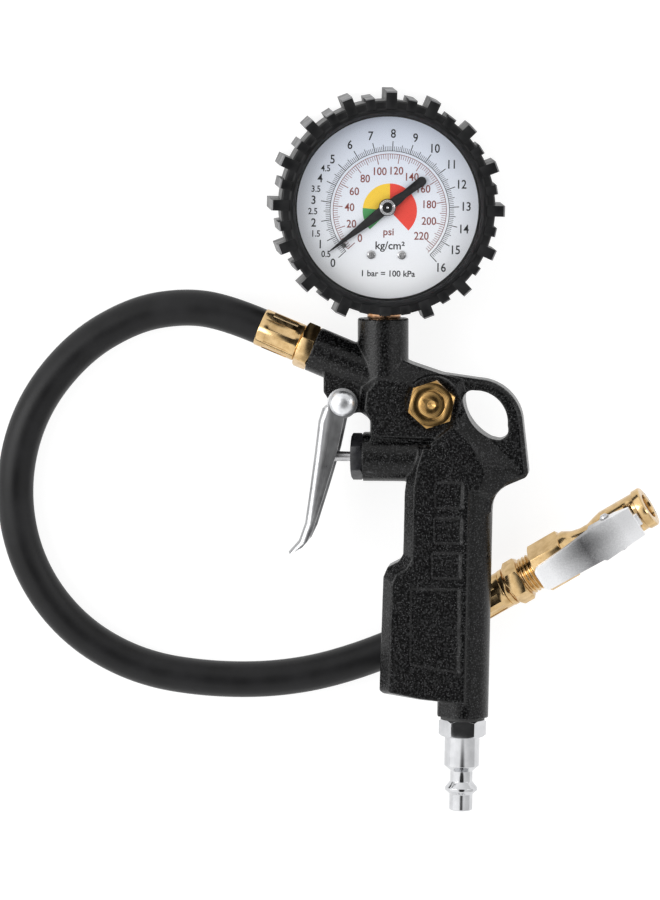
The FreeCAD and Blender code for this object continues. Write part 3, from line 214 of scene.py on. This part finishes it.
def boot_rubber():
    """Moulded rubber, satin, with a faint mould texture; the outer ends of the teeth carry a painted pale
    highlight.
    """
    # Painted highlight: outward-facing tooth ends beyond this radius are coloured pale, fading towards the back of
    # the boot.
    highlight_from_r, highlight_full_r = 0.0356, 0.0359
    finish = Finish("boot_rubber", (0.006, 0.006, 0.007), 0.38, Specular_IOR_Level=0.3)
    grain = finish.noise(0.35, detail=3.0)
    dust = finish.noise(5.0, detail=5.0)
    outward = finish.node("ShaderNodeVectorMath", operation="SUBTRACT")
    finish.link(finish.coordinates.outputs["Object"], outward.inputs[0])
    outward.inputs[1].default_value = gauge_origin
    unit = finish.node("ShaderNodeVectorMath", operation="NORMALIZE")
    finish.link(outward.outputs["Vector"], unit.inputs[0])
    facing = finish.node("ShaderNodeVectorMath", operation="DOT_PRODUCT")
    finish.link(unit.outputs["Vector"], facing.inputs[0])
    finish.link(finish.node("ShaderNodeNewGeometry").outputs["Normal"], facing.inputs[1])
    in_gauge = finish.seen_from(gauge_origin, gauge_x, gauge_y, gauge_z)
    front = finish.ramp(finish.along(in_gauge, "Z"), 0.002, 0.0155, 0.25, 1.0)
    flat = finish.node("ShaderNodeVectorMath", operation="MULTIPLY")
    finish.link(in_gauge, flat.inputs[0])
    flat.inputs[1].default_value = (1, 1, 0)
    radius = finish.node("ShaderNodeVectorMath", operation="LENGTH")
    finish.link(flat.outputs["Vector"], radius.inputs[0])
    ends = finish.node("ShaderNodeMath", operation="MULTIPLY")
    finish.link(finish.ramp(facing.outputs["Value"], 0.72, 0.86, 0.0, 1.0), ends.inputs[0])
    far_out = finish.ramp(radius.outputs["Value"], highlight_from_r, highlight_full_r, 0.0, 1.0)
    finish.link(far_out, ends.inputs[1])
    painted_highlight = finish.node("ShaderNodeMath", operation="MULTIPLY")
    finish.link(ends.outputs["Value"], painted_highlight.inputs[0])
    finish.link(front, painted_highlight.inputs[1])
    # Tone: faint random dust plus the painted highlight on the tooth ends.
    tone = finish.sum(finish.ramp(dust, 0.45, 0.72, 0.0, 0.025), painted_highlight.outputs["Value"], 1.0)
    finish.colors(tone, (0.0035, 0.0037, 0.0043), (0.17, 0.17, 0.175))
    finish.roughness(dust, 0.35, 0.7, 0.34, 0.52)
    finish.bump(grain, 0.03, 0.5)
    return finish.material


def hose_rubber():
    """Extruded hose cover with long faint drawing marks and a dull bloom."""
    finish = Finish("hose_rubber", (0.006, 0.006, 0.0065), 0.42, Specular_IOR_Level=0.25)
    grain = finish.noise(0.6, detail=4.0)
    bloom = finish.noise(14.0, detail=6.0)
    finish.colors(finish.ramp(bloom, 0.42, 0.7, 0.0, 1.0), (0.0045, 0.0045, 0.005), (0.011, 0.011, 0.012))
    finish.roughness(finish.sum(bloom, grain, 0.25), 0.5, 0.95, 0.40, 0.56)
    finish.bump(grain, 0.05, 0.45)
    return finish.material


def seal_rubber():
    finish = Finish("seal_rubber", (0.02, 0.02, 0.02), 0.6)
    finish.bump(finish.noise(0.3), 0.02, 0.5)
    finish.colors(finish.noise(1.5), (0.014, 0.014, 0.014), (0.028, 0.028, 0.028))
    return finish.material


def turned_metal(name, dark, light, low, high, mark_mm=0.12, spots=2.5, bump_mm=0.006):
    """Machined metal: fine tool marks, patches of slightly different polish, and a little tarnish."""
    finish = Finish(name, light, low, metallic=1.0)
    marks = finish.noise(mark_mm, detail=2.0, coordinates=finish.stretched((1.0, 1.0, 0.15)))
    patches = finish.noise(spots, detail=4.0)
    finish.colors(finish.ramp(patches, 0.34, 0.62, 0.0, 1.0), dark, light)
    finish.roughness(finish.sum(patches, marks, 0.35), 0.45, 0.95, low, high)
    finish.bump(marks, bump_mm, 0.5)
    return finish.material


def turned_face(name, dark, light, coordinates_of):
    """Metal faced off on a lathe: fine rings around its axis."""
    finish = Finish(name, light, 0.2, metallic=1.0)
    coordinates = finish.seen_from(*coordinates_of)
    fine = finish.rings(coordinates, 0.45, 0.4)
    coarse = finish.rings(coordinates, 2.4, 0.6)
    finish.colors(finish.sum(finish.ramp(fine, 0.0, 1.0, 0.0, 0.6), coarse, 0.4), dark, light)
    finish.roughness(coarse, 0.0, 1.0, 0.17, 0.30)
    finish.bump(fine, 0.02, 0.5)
    return finish.material


def grained_chrome(name, coordinates_of, dark_place, spread):
    """Chromed sheet with a satin grain and a painted reflection: dark in one band across it, light away from it
    (metres along its length).
    """
    finish = Finish(name, (0.7, 0.7, 0.72), 0.34, metallic=1.0)
    length = finish.along(finish.seen_from(*coordinates_of), "X")
    # Painted reflection: dark at dark_place, fading to light over spread on either side.
    before = finish.ramp(length, dark_place - spread, dark_place, 1.0, 0.0)
    after = finish.ramp(length, dark_place, dark_place + spread, 0.0, 1.0)
    grain = finish.noise(0.4, detail=5.0)
    painted_reflection_and_grain = finish.sum(finish.sum(before, after, 1.0), grain, 0.5)
    finish.colors(finish.ramp(painted_reflection_and_grain, 0.2, 1.25, 0.0, 1.0), (0.16, 0.16, 0.165), (0.92, 0.925, 0.94))
    finish.roughness(painted_reflection_and_grain, 0.2, 1.2, 0.30, 0.48)
    finish.bump(grain, 0.03, 0.8)
    return finish.material


def printed_dial():
    """Matte lacquer with a faint orange peel; painted shade makes the dial blue-grey at the top and white at the
    bottom.
    """
    finish = Finish("dial_white", (0.88, 0.91, 0.96), 0.5)
    height = finish.along(finish.seen_from(gauge_origin, gauge_x, gauge_y, gauge_z), "Y")
    # Painted shade: darker and blue-grey towards the top of the dial, plus a little random tone.
    painted_shade_and_tone = finish.sum(finish.ramp(height, -0.024, 0.03, 0.95, 0.0), finish.noise(22.0), 0.1)
    finish.colors(painted_shade_and_tone, (0.66, 0.72, 0.85), (0.95, 0.965, 0.99))
    finish.bump(finish.noise(1.2), 0.004, 0.4)
    return finish.material


def ink(name, color):
    """Screen-printed ink with slightly uneven cover."""
    finish = Finish(name, color, 0.55)
    lighter = tuple(min(1.0, channel * 1.12 + 0.004) for channel in color)
    finish.colors(finish.noise(0.8, detail=4.0), color, lighter)
    finish.bump(finish.noise(0.25), 0.003, 0.4)
    return finish.material


def painted_steel(name, color, roughness):
    finish = Finish(name, color, roughness)
    brighter = tuple(channel * 1.8 + 0.003 for channel in color)
    finish.colors(finish.ramp(finish.noise(1.4, detail=5.0), 0.4, 0.7, 0.0, 1.0), color, brighter)
    finish.roughness(finish.noise(2.5), 0.35, 0.65, roughness - 0.06, roughness + 0.08)
    finish.bump(finish.noise(0.35), 0.012, 0.5)
    return finish.material


def clear_window():
    """Clear plastic: mostly see-through, with its own gloss and a few faint wiping marks."""
    finish = Finish("window_clear", (0.02, 0.02, 0.02), 0.04, Alpha=0.035, IOR=1.49)
    finish.roughness(finish.noise(6.0, detail=6.0), 0.4, 0.7, 0.02, 0.09)
    finish.bump(finish.noise(30.0, detail=1.0), 0.01, 0.2)
    return finish.material


materials = {
    "powder_coat": powder_coat(),
    "boot_rubber": boot_rubber(),
    "hose_rubber": hose_rubber(),
    "seal_rubber": seal_rubber(),
    "brass": turned_metal("brass", (0.52, 0.35, 0.16), (0.68, 0.48, 0.245), 0.12, 0.22),
    "copper_alloy": turned_metal("copper_alloy", (0.50, 0.27, 0.14), (0.76, 0.46, 0.28), 0.20, 0.38),
    "chrome": turned_metal("chrome", (0.54, 0.545, 0.56), (0.62, 0.625, 0.64), 0.08, 0.16, spots=4.0,
                           bump_mm=0.004),
    "satin_chrome": turned_metal("satin_chrome", (0.33, 0.332, 0.34), (0.40, 0.403, 0.41), 0.26, 0.38,
                                 spots=7.0, mark_mm=0.4, bump_mm=0.03),
    "steel": turned_metal("steel", (0.38, 0.38, 0.39), (0.60, 0.60, 0.61), 0.24, 0.42),
    "black_steel": painted_steel("black_steel", (0.012, 0.012, 0.014), 0.32),
    "case_black": painted_steel("case_black", (0.010, 0.010, 0.012), 0.35),
    "pointer_black": painted_steel("pointer_black", (0.006, 0.006, 0.007), 0.38),
    "dial_white": printed_dial(),
    "window_clear": clear_window(),
}
plug_low, plug_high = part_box("gallery_plug")
faced_brass = turned_face("faced_brass", (0.22, 0.12, 0.035), (0.60, 0.38, 0.15),
                          ((plug_low + plug_high) / 2, casting_x, casting_z.cross(casting_x), casting_z))
clip_low, clip_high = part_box("clip_lever")
clip_middle = (clip_low + clip_high) / 2
# The clip lever's chrome carries a painted reflection band across it.
clip_chrome = grained_chrome("clip_chrome", (clip_middle, chuck_along, clip_across, clip_side),
                             dark_place=0.001, spread=0.014)
satin_rivet = turned_metal("satin_rivet", (0.62, 0.63, 0.65), (0.84, 0.85, 0.87), 0.26, 0.36)
ink_black = ink("ink_black", (0.012, 0.012, 0.014))
ink_red_brown = ink("ink_red_brown", (0.22, 0.05, 0.04))
ink_red = ink("ink_red", (0.80, 0.065, 0.045))
ink_yellow = ink("ink_yellow", (0.93, 0.60, 0.055))
ink_green = ink("ink_green", (0.075, 0.33, 0.11))


# ---------------------------------------------------------------- pieces made from CAD nodes
def finished(name, mesh, slot, body, stands_for=()):
    piece = bpy.data.objects.new(name, mesh)
    bpy.context.scene.collection.objects.link(piece)
    piece.data.materials.clear()
    piece.data.materials.append(materials[slot])
    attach(piece, body)
    if stands_for:
        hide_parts(*stands_for)
    return piece


def welded_copy(node):
    """A copy of a node's mesh with its doubled points joined and its flat faces whole."""
    mesh = nodes[node].data.copy()
    edit = bmesh.new()
    edit.from_mesh(mesh)
    bmesh.ops.remove_doubles(edit, verts=edit.verts, dist=0.000002)
    bmesh.ops.dissolve_limit(edit, angle_limit=math.radians(0.6), verts=edit.verts, edges=edit.edges)
    edit.to_mesh(mesh)
    edit.free()
    return mesh


def with_modifiers(mesh, *wanted):
    """The mesh after some modifiers, each given as (type, settings)."""
    carrier = bpy.data.objects.new("carrier", mesh)
    bpy.context.scene.collection.objects.link(carrier)
    for kind, settings in wanted:
        modifier = carrier.modifiers.new(kind, kind)
        for key, value in settings.items():
            setattr(modifier, key, value)
    bpy.context.view_layer.update()
    graph = bpy.context.evaluated_depsgraph_get()
    result = bpy.data.meshes.new_from_object(carrier.evaluated_get(graph))
    bpy.data.objects.remove(carrier)
    return result


bevelled_from = math.radians(28)          # edges sharper than this are rounded
sharp_from = math.radians(40)             # edges sharper than this are shaded as edges


def eased(node, width_mm, look=None):
    """The node with its sharp edges rounded to the given width; look replaces the slot's material."""
    bevel = dict(width=width_mm * MM, segments=2, limit_method="ANGLE", angle_limit=bevelled_from,
                 use_clamp_overlap=True, harden_normals=False)
    mesh = with_modifiers(welded_copy(node), ("BEVEL", bevel))
    mesh.shade_smooth()
    mesh.set_sharp_from_angle(angle=sharp_from)
    piece = finished(node + "_eased", mesh, slot_of[node], body_of[node], [node])
    if look:
        piece.data.materials[0] = look
    return piece


def cast_body():
    """The casting with its edges and inner corners slightly softened, as on a die casting."""
    mesh = nodes["body"].data.copy()
    remesh = dict(mode="VOXEL", voxel_size=0.36 * MM)
    smooth = dict(factor=0.5, iterations=2)
    mesh = with_modifiers(mesh, ("REMESH", remesh), ("SMOOTH", smooth), ("DECIMATE", dict(ratio=0.45)))
    mesh.shade_smooth()
    return finished("cast_body", mesh, "powder_coat", "gun", ["body"])


# ---------------------------------------------------------------- hose
hose_diameter = 0.012
hose_route = [
    (-0.0426, 0.0409, 0.0117), (-0.0538, 0.0455, 0.0099), (-0.0674, 0.0475, 0.0083),
    (-0.0843, 0.0446, 0.0065), (-0.1036, 0.0331, 0.00605), (-0.1194, 0.0123, 0.00605),
    (-0.1253, -0.0134, 0.00605), (-0.1206, -0.0393, 0.00605), (-0.1058, -0.0608, 0.00605),
    (-0.0838, -0.0742, 0.00605), (-0.0576, -0.0787, 0.00605), (-0.031, -0.0781, 0.00605),
    (-0.0064, -0.0716, 0.00605), (0.019, -0.0601, 0.00605), (0.0276, -0.0547, 0.0082),
]


def make_hose():
    curve = bpy.data.curves.new("hose_tube", "CURVE")
    curve.dimensions = "3D"
    spline = curve.splines.new("NURBS")
    spline.points.add(len(hose_route) - 1)
    for point, place in zip(spline.points, hose_route):
        point.co = (*place, 1)
    spline.order_u = 3
    spline.use_endpoint_u = True
    spline.resolution_u = 10
    curve.bevel_depth = hose_diameter / 2
    curve.bevel_resolution = 8
    curve.use_fill_caps = True
    hose = bpy.data.objects.new("hose_tube", curve)
    bpy.context.scene.collection.objects.link(hose)
    curve.materials.append(materials["hose_rubber"])
    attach(hose, "gun")
    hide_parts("hose")
    return hose


# ---------------------------------------------------------------- dial print (millimetres, degrees)
dial_top = 8.1             # above the gauge's origin
print_thickness = 0.02
dial_turn = -1.7           # the dial sits slightly turned in its case
print_shift = (0.88, -1.12, 0)         # the print sits a little off the pointer's axis
print_scale = 0.989
print_place = (gauge_place @ Matrix.Translation(print_shift)
               @ Matrix.Diagonal((print_scale, print_scale, 1, 1)))
line_width = 0.18          # of the two arcs under the scales
kg_arc_r = 19.75
kg_tick_from = 19.8        # the kg/cm2 ticks point outwards
kg_number_r = 25.5
psi_arc_r = 18.75
psi_tick_from = 18.7       # the psi ticks point inwards
psi_number_r = 13.4
field_inner = 1.7          # coloured fields around the hub
field_outer = 9.0
scale_start = 225.0
scale_sweep = 270.0
full_kg = 16.0
full_psi = 227.6
psi_per_kg = 14.223
digit_height = 0.71        # about the height of a digit at a font size of 1


def kg_angle(value):
    return scale_start + dial_turn - scale_sweep * value / full_kg


def psi_angle(value):
    return kg_angle(value / psi_per_kg)


def ring_point(radius, angle):
    turn = math.radians(angle)
    return (radius * math.cos(turn), radius * math.sin(turn))


def prism(edit, outline, level=0):
    """Thin printed patch over an outline of (x, y) points; a higher level prints over a lower one."""
    low = dial_top + print_thickness * (0.1 + level)
    high = dial_top + print_thickness * (1.0 + level)
    base = [edit.verts.new((x, y, low)) for x, y in outline]
    top = [edit.verts.new((x, y, high)) for x, y in outline]
    edit.faces.new(list(reversed(base)))
    edit.faces.new(top)
    count = len(outline)
    for k in range(count):
        edit.faces.new((base[k], base[(k + 1) % count], top[(k + 1) % count], top[k]))


def printed(name, edit, ink_material):
    bmesh.ops.recalc_face_normals(edit, faces=edit.faces)
    mesh = bpy.data.meshes.new(name)
    edit.to_mesh(mesh)
    edit.free()
    mesh.transform(print_place)
    piece = finished(name, mesh, "dial_white", "gun")
    piece.data.materials[0] = ink_material
    return piece


def ring_patch(edit, inner, outer, start, end, level=0):
    """Patch between two radii, in short pieces so that each stays convex."""
    count = max(2, round(abs(end - start) / 3))
    for k in range(count):
        a = start + (end - start) * k / count
        b = start + (end - start) * (k + 1) / count
        corners = [ring_point(inner, a), ring_point(outer, a), ring_point(outer, b), ring_point(inner, b)]
        prism(edit, corners, level)


def tick(edit, angle, inner, outer, width):
    turn = math.radians(angle)
    along = Vector((math.cos(turn), math.sin(turn)))
    across = Vector((-along.y, along.x)) * width / 2
    corners = [along * inner - across, along * outer - across,
               along * outer + across, along * inner + across]
    prism(edit, [tuple(corner) for corner in corners])


def kg_scale():
    edit = bmesh.new()
    inner, outer = kg_arc_r - line_width / 2, kg_arc_r + line_width / 2
    ring_patch(edit, inner, outer, kg_angle(0), kg_angle(full_kg))
    for step in range(161):
        if step % 10 == 0:
            reach, width = 3.2, 0.27
        elif step % 5 == 0:
            reach, width = 2.1, 0.21
        else:
            reach, width = 1.5, 0.16
        tick(edit, kg_angle(step / 10), kg_tick_from, kg_tick_from + reach, width)
    return printed("kg_scale", edit, ink_black)


def psi_scale():
    edit = bmesh.new()
    inner, outer = psi_arc_r - line_width / 2, psi_arc_r + line_width / 2
    ring_patch(edit, inner, outer, psi_angle(0), psi_angle(full_psi))
    for step in range(114):
        value = step * 2
        if value % 20 == 0:
            reach, width = 3.0, 0.25
        elif value % 10 == 0:
            reach, width = 2.1, 0.2
        else:
            reach, width = 1.5, 0.16
        tick(edit, psi_angle(value), psi_tick_from - reach, psi_tick_from, width)
    return printed("psi_scale", edit, ink_red_brown)


def color_fields():
    fields = (("green_field", ink_green, 224.0, 175.0), ("yellow_field", ink_yellow, 175.0, 90.6),
              ("red_field", ink_red, 90.6, -46.0))
    for name, ink_material, start, end in fields:
        edit = bmesh.new()
        ring_patch(edit, field_inner, field_outer, start, end)
        printed(name, edit, ink_material)


def lettering(name, labels, ink_material):
    """One mesh of all the labels, each given as (text, x, y, height, boldness, width)."""
    edit = bmesh.new()
    for text, x, y, height, boldness, width in labels:
        curve = bpy.data.curves.new(name + "_text", "FONT")
        curve.body = text
        curve.align_x = "CENTER"
        curve.align_y = "CENTER"
        curve.size = height / digit_height
        curve.offset = boldness
        curve.extrude = print_thickness / 2
        curve.resolution_u = 3
        carrier = bpy.data.objects.new(name + "_carrier", curve)
        bpy.context.scene.collection.objects.link(carrier)
        bpy.context.view_layer.update()
        graph = bpy.context.evaluated_depsgraph_get()
        mesh = bpy.data.meshes.new_from_object(carrier.evaluated_get(graph))
        mesh.transform(Matrix.Diagonal((width, 1, 1, 1)))
        low, high = mesh_span(mesh)
        middle = (low + high) / 2
        mesh.transform(Matrix.Translation((x - middle.x, y - middle.y, dial_top + print_thickness * 0.6)))
        edit.from_mesh(mesh)
        bpy.data.objects.remove(carrier)
        bpy.data.meshes.remove(mesh)
    bmesh.ops.remove_doubles(edit, verts=edit.verts, dist=0.0005)
    return printed(name, edit, ink_material)


def mesh_span(mesh):
    points = [vertex.co for vertex in mesh.vertices]
    low = Vector((min(p.x for p in points), min(p.y for p in points), 0))
    high = Vector((max(p.x for p in points), max(p.y for p in points), 0))
    return low, high


def dial_lettering():
    outer = []
    for half in range(0, 10):
        value = half / 2
        text = "0" if half == 0 else ("%g" % value)
        whole = value == int(value)
        outer.append((text, *ring_point(kg_number_r, kg_angle(value)), 2.8 if whole else 2.1, 0.045, 0.88))
    for value in range(5, 17):
        outer.append((str(value), *ring_point(kg_number_r, kg_angle(value)), 2.9, 0.045, 0.88))
    lettering("kg_numbers", outer, ink_black)
    inner = []
    for value in range(0, 221, 20):
        inner.append((str(value), *ring_point(psi_number_r, psi_angle(value)), 2.6, 0.04, 0.9))
    inner.append(("psi", -0.3, -7.4, 2.4, 0.05, 1.0))
    lettering("psi_numbers", inner, ink_red_brown)
    names = [("kg/cm²", 0.3, -11.9, 2.6, 0.05, 1.0), ("1 bar = 100 kPa", -0.1, -20.8, 2.0, 0.05, 1.0)]
    lettering("unit_names", names, ink_black)


# ---------------------------------------------------------------- springs and the Bourdon tube
def yielding(node):
    mesh = nodes[node].data.copy()
    mesh.shade_smooth()
    piece = finished(node + "_wound", mesh, slot_of[node], body_of[node], [node])
    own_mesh(piece)
    return piece


def make_springs():
    """Each spring becomes a smooth-shaded copy of its part with a mesh of its own."""
    yielding("clip_spring")
    yielding("depressor_spring")
    yielding("valve_spring")


def make_bourdon_tube():
    mesh = nodes["bourdon_tube"].data.copy()
    mesh.shade_smooth()
    mesh.set_sharp_from_angle(angle=sharp_from)
    mesh.materials.clear()
    mesh.materials.append(materials["copper_alloy"])
    coil = bpy.data.objects.new("bourdon_coil", mesh)
    bpy.context.scene.collection.objects.link(coil)
    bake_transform(coil)
    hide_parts("bourdon_tube")


# ---------------------------------------------------------------- build the object
for node, thing in nodes.items():
    thing.data.materials.clear()
    thing.data.materials.append(materials[slot_of[node]])

cast_body()
edge_widths = {
    "gauge_boot": 0.35, "trigger": 0.25, "clip_lever": 0.22, "valve_nut": 0.3, "gallery_plug": 0.3,
    "hose_nipple": 0.3, "gun_ferrule": 0.2, "chuck_ferrule": 0.2, "chuck_stem": 0.15, "chuck_body": 0.25,
    "inlet_plug": 0.2, "gauge_socket": 0.2, "pointer": 0.08, "pointer_cap": 0.12, "dial_screws": 0.08,
    "trigger_pin": 0.15,
}
own_looks = {
    "trigger": materials["satin_chrome"], "clip_lever": clip_chrome, "gallery_plug": faced_brass,
    "trigger_pin": satin_rivet,
}
for node, width_mm in edge_widths.items():
    eased(node, width_mm, look=own_looks.get(node))
hose = make_hose()
kg_scale()
psi_scale()
color_fields()
dial_lettering()
make_springs()
make_bourdon_tube()


# ---------------------------------------------------------------- floor, light and camera
def make_floor():
    """Grey floor that glows white, a little less away from its middle."""
    fades_from, fades_to = 0.45, 1.2
    glow_near, glow_far = 0.84, 0.66
    mesh = bpy.data.meshes.new("floor")
    edit = bmesh.new()
    bmesh.ops.create_grid(edit, x_segments=1, y_segments=1, size=3.0)
    edit.to_mesh(mesh)
    edit.free()
    floor = bpy.data.objects.new("floor", mesh)
    floor.location = (0, 0, -0.0002)
    bpy.context.scene.collection.objects.link(floor)
    finish = Finish("floor_white", (0.27, 0.27, 0.27), 0.8, Specular_IOR_Level=0.2)
    finish.shader.inputs["Emission Color"].default_value = (1, 1, 1, 1)
    distance = finish.node("ShaderNodeVectorMath", operation="LENGTH")
    finish.link(finish.coordinates.outputs["Object"], distance.inputs[0])
    glow = finish.ramp(distance.outputs["Value"], fades_from, fades_to, glow_near, glow_far)
    finish.link(glow, finish.shader.inputs["Emission Strength"])
    finish.colors(finish.noise(400.0), (0.26, 0.26, 0.26), (0.28, 0.28, 0.28))
    mesh.materials.append(finish.material)


def softbox(name, place, target, width, height, power):
    light = bpy.data.lights.new(name, "AREA")
    light.shape = "RECTANGLE"
    light.size = width
    light.size_y = height
    light.energy = power
    box = bpy.data.objects.new(name, light)
    box.location = place
    box.rotation_euler = (Vector(target) - Vector(place)).to_track_quat("-Z", "Y").to_euler()
    bpy.context.scene.collection.objects.link(box)


def world_node(tree, kind, operation=None):
    made = tree.nodes.new(kind)
    if operation:
        made.operation = operation
    return made


def world_ramp(tree, value, low, high, start, end):
    """Value between low and high spread to the range from start to end."""
    spread = world_node(tree, "ShaderNodeMapRange")
    for key, number in (("From Min", low), ("From Max", high), ("To Min", start), ("To Max", end)):
        spread.inputs[key].default_value = number
    tree.links.new(value, spread.inputs["Value"])
    return spread


def make_light():
    """A white tent, brighter on the left, with a dark opening overhead, and two softboxes."""
    opening_half_width = 0.34              # as parts of a direction of length 1
    opening_half_length = 0.44
    world = bpy.data.worlds.new("studio")
    bpy.context.scene.world = world
    world.use_nodes = True
    tree = world.node_tree
    background = tree.nodes["Background"]
    direction = world_node(tree, "ShaderNodeTexCoord").outputs["Generated"]
    parts = world_node(tree, "ShaderNodeSeparateXYZ")
    tree.links.new(direction, parts.inputs["Vector"])
    stretched = world_node(tree, "ShaderNodeVectorMath", "MULTIPLY")
    stretched.inputs[1].default_value = (1 / opening_half_width, 1 / opening_half_length, 0)
    tree.links.new(direction, stretched.inputs[0])
    away = world_node(tree, "ShaderNodeVectorMath", "LENGTH")
    tree.links.new(stretched.outputs["Vector"], away.inputs[0])
    opening = world_ramp(tree, away.outputs["Value"], 0.8, 1.3, 0.035, 1.0)
    opening.interpolation_type = "SMOOTHSTEP"
    side = world_ramp(tree, parts.outputs["X"], -0.8, 0.8, 1.4, 0.8)
    strength = world_node(tree, "ShaderNodeMath", "MULTIPLY")
    tree.links.new(opening.outputs["Result"], strength.inputs[0])
    tree.links.new(side.outputs["Result"], strength.inputs[1])
    tree.links.new(strength.outputs["Value"], background.inputs["Strength"])
    background.inputs["Color"].default_value = (1, 1, 1, 1)
    softbox("softbox_left", (-0.85, 0.15, 0.6), (0, 0, 0.01), 0.35, 0.8, 4)
    softbox("softbox_right", (0.85, 0.25, 0.6), (0, 0, 0.01), 0.2, 0.7, 1.5)


def make_camera():
    """Long lens almost straight above, moved a little towards the gauge and the hose loop."""
    distance = 1.6
    target = Vector((-0.01978, 0.00003, 0.015))
    view_height = 0.2978
    lean_left = math.radians(2.5)
    lean_up = math.radians(7.8)
    toward = Vector((-math.sin(lean_left), math.sin(lean_up), 0))
    toward.z = math.sqrt(1 - toward.length_squared)
    camera_data = bpy.data.cameras.new("camera")
    camera_data.sensor_fit = "VERTICAL"
    camera_data.angle = 2 * math.atan(view_height / 2 / distance)
    camera_data.clip_end = 10
    camera = bpy.data.objects.new("camera", camera_data)
    right = Vector((0, 1, 0)).cross(toward).normalized()
    up = toward.cross(right)
    turn = Matrix((right, up, toward)).transposed().to_4x4()
    camera.matrix_world = Matrix.Translation(target + toward * distance) @ turn
    bpy.context.scene.collection.objects.link(camera)
    bpy.context.scene.camera = camera


make_floor()
make_light()
make_camera()
bpy.context.scene.view_settings.view_transform = "Standard"
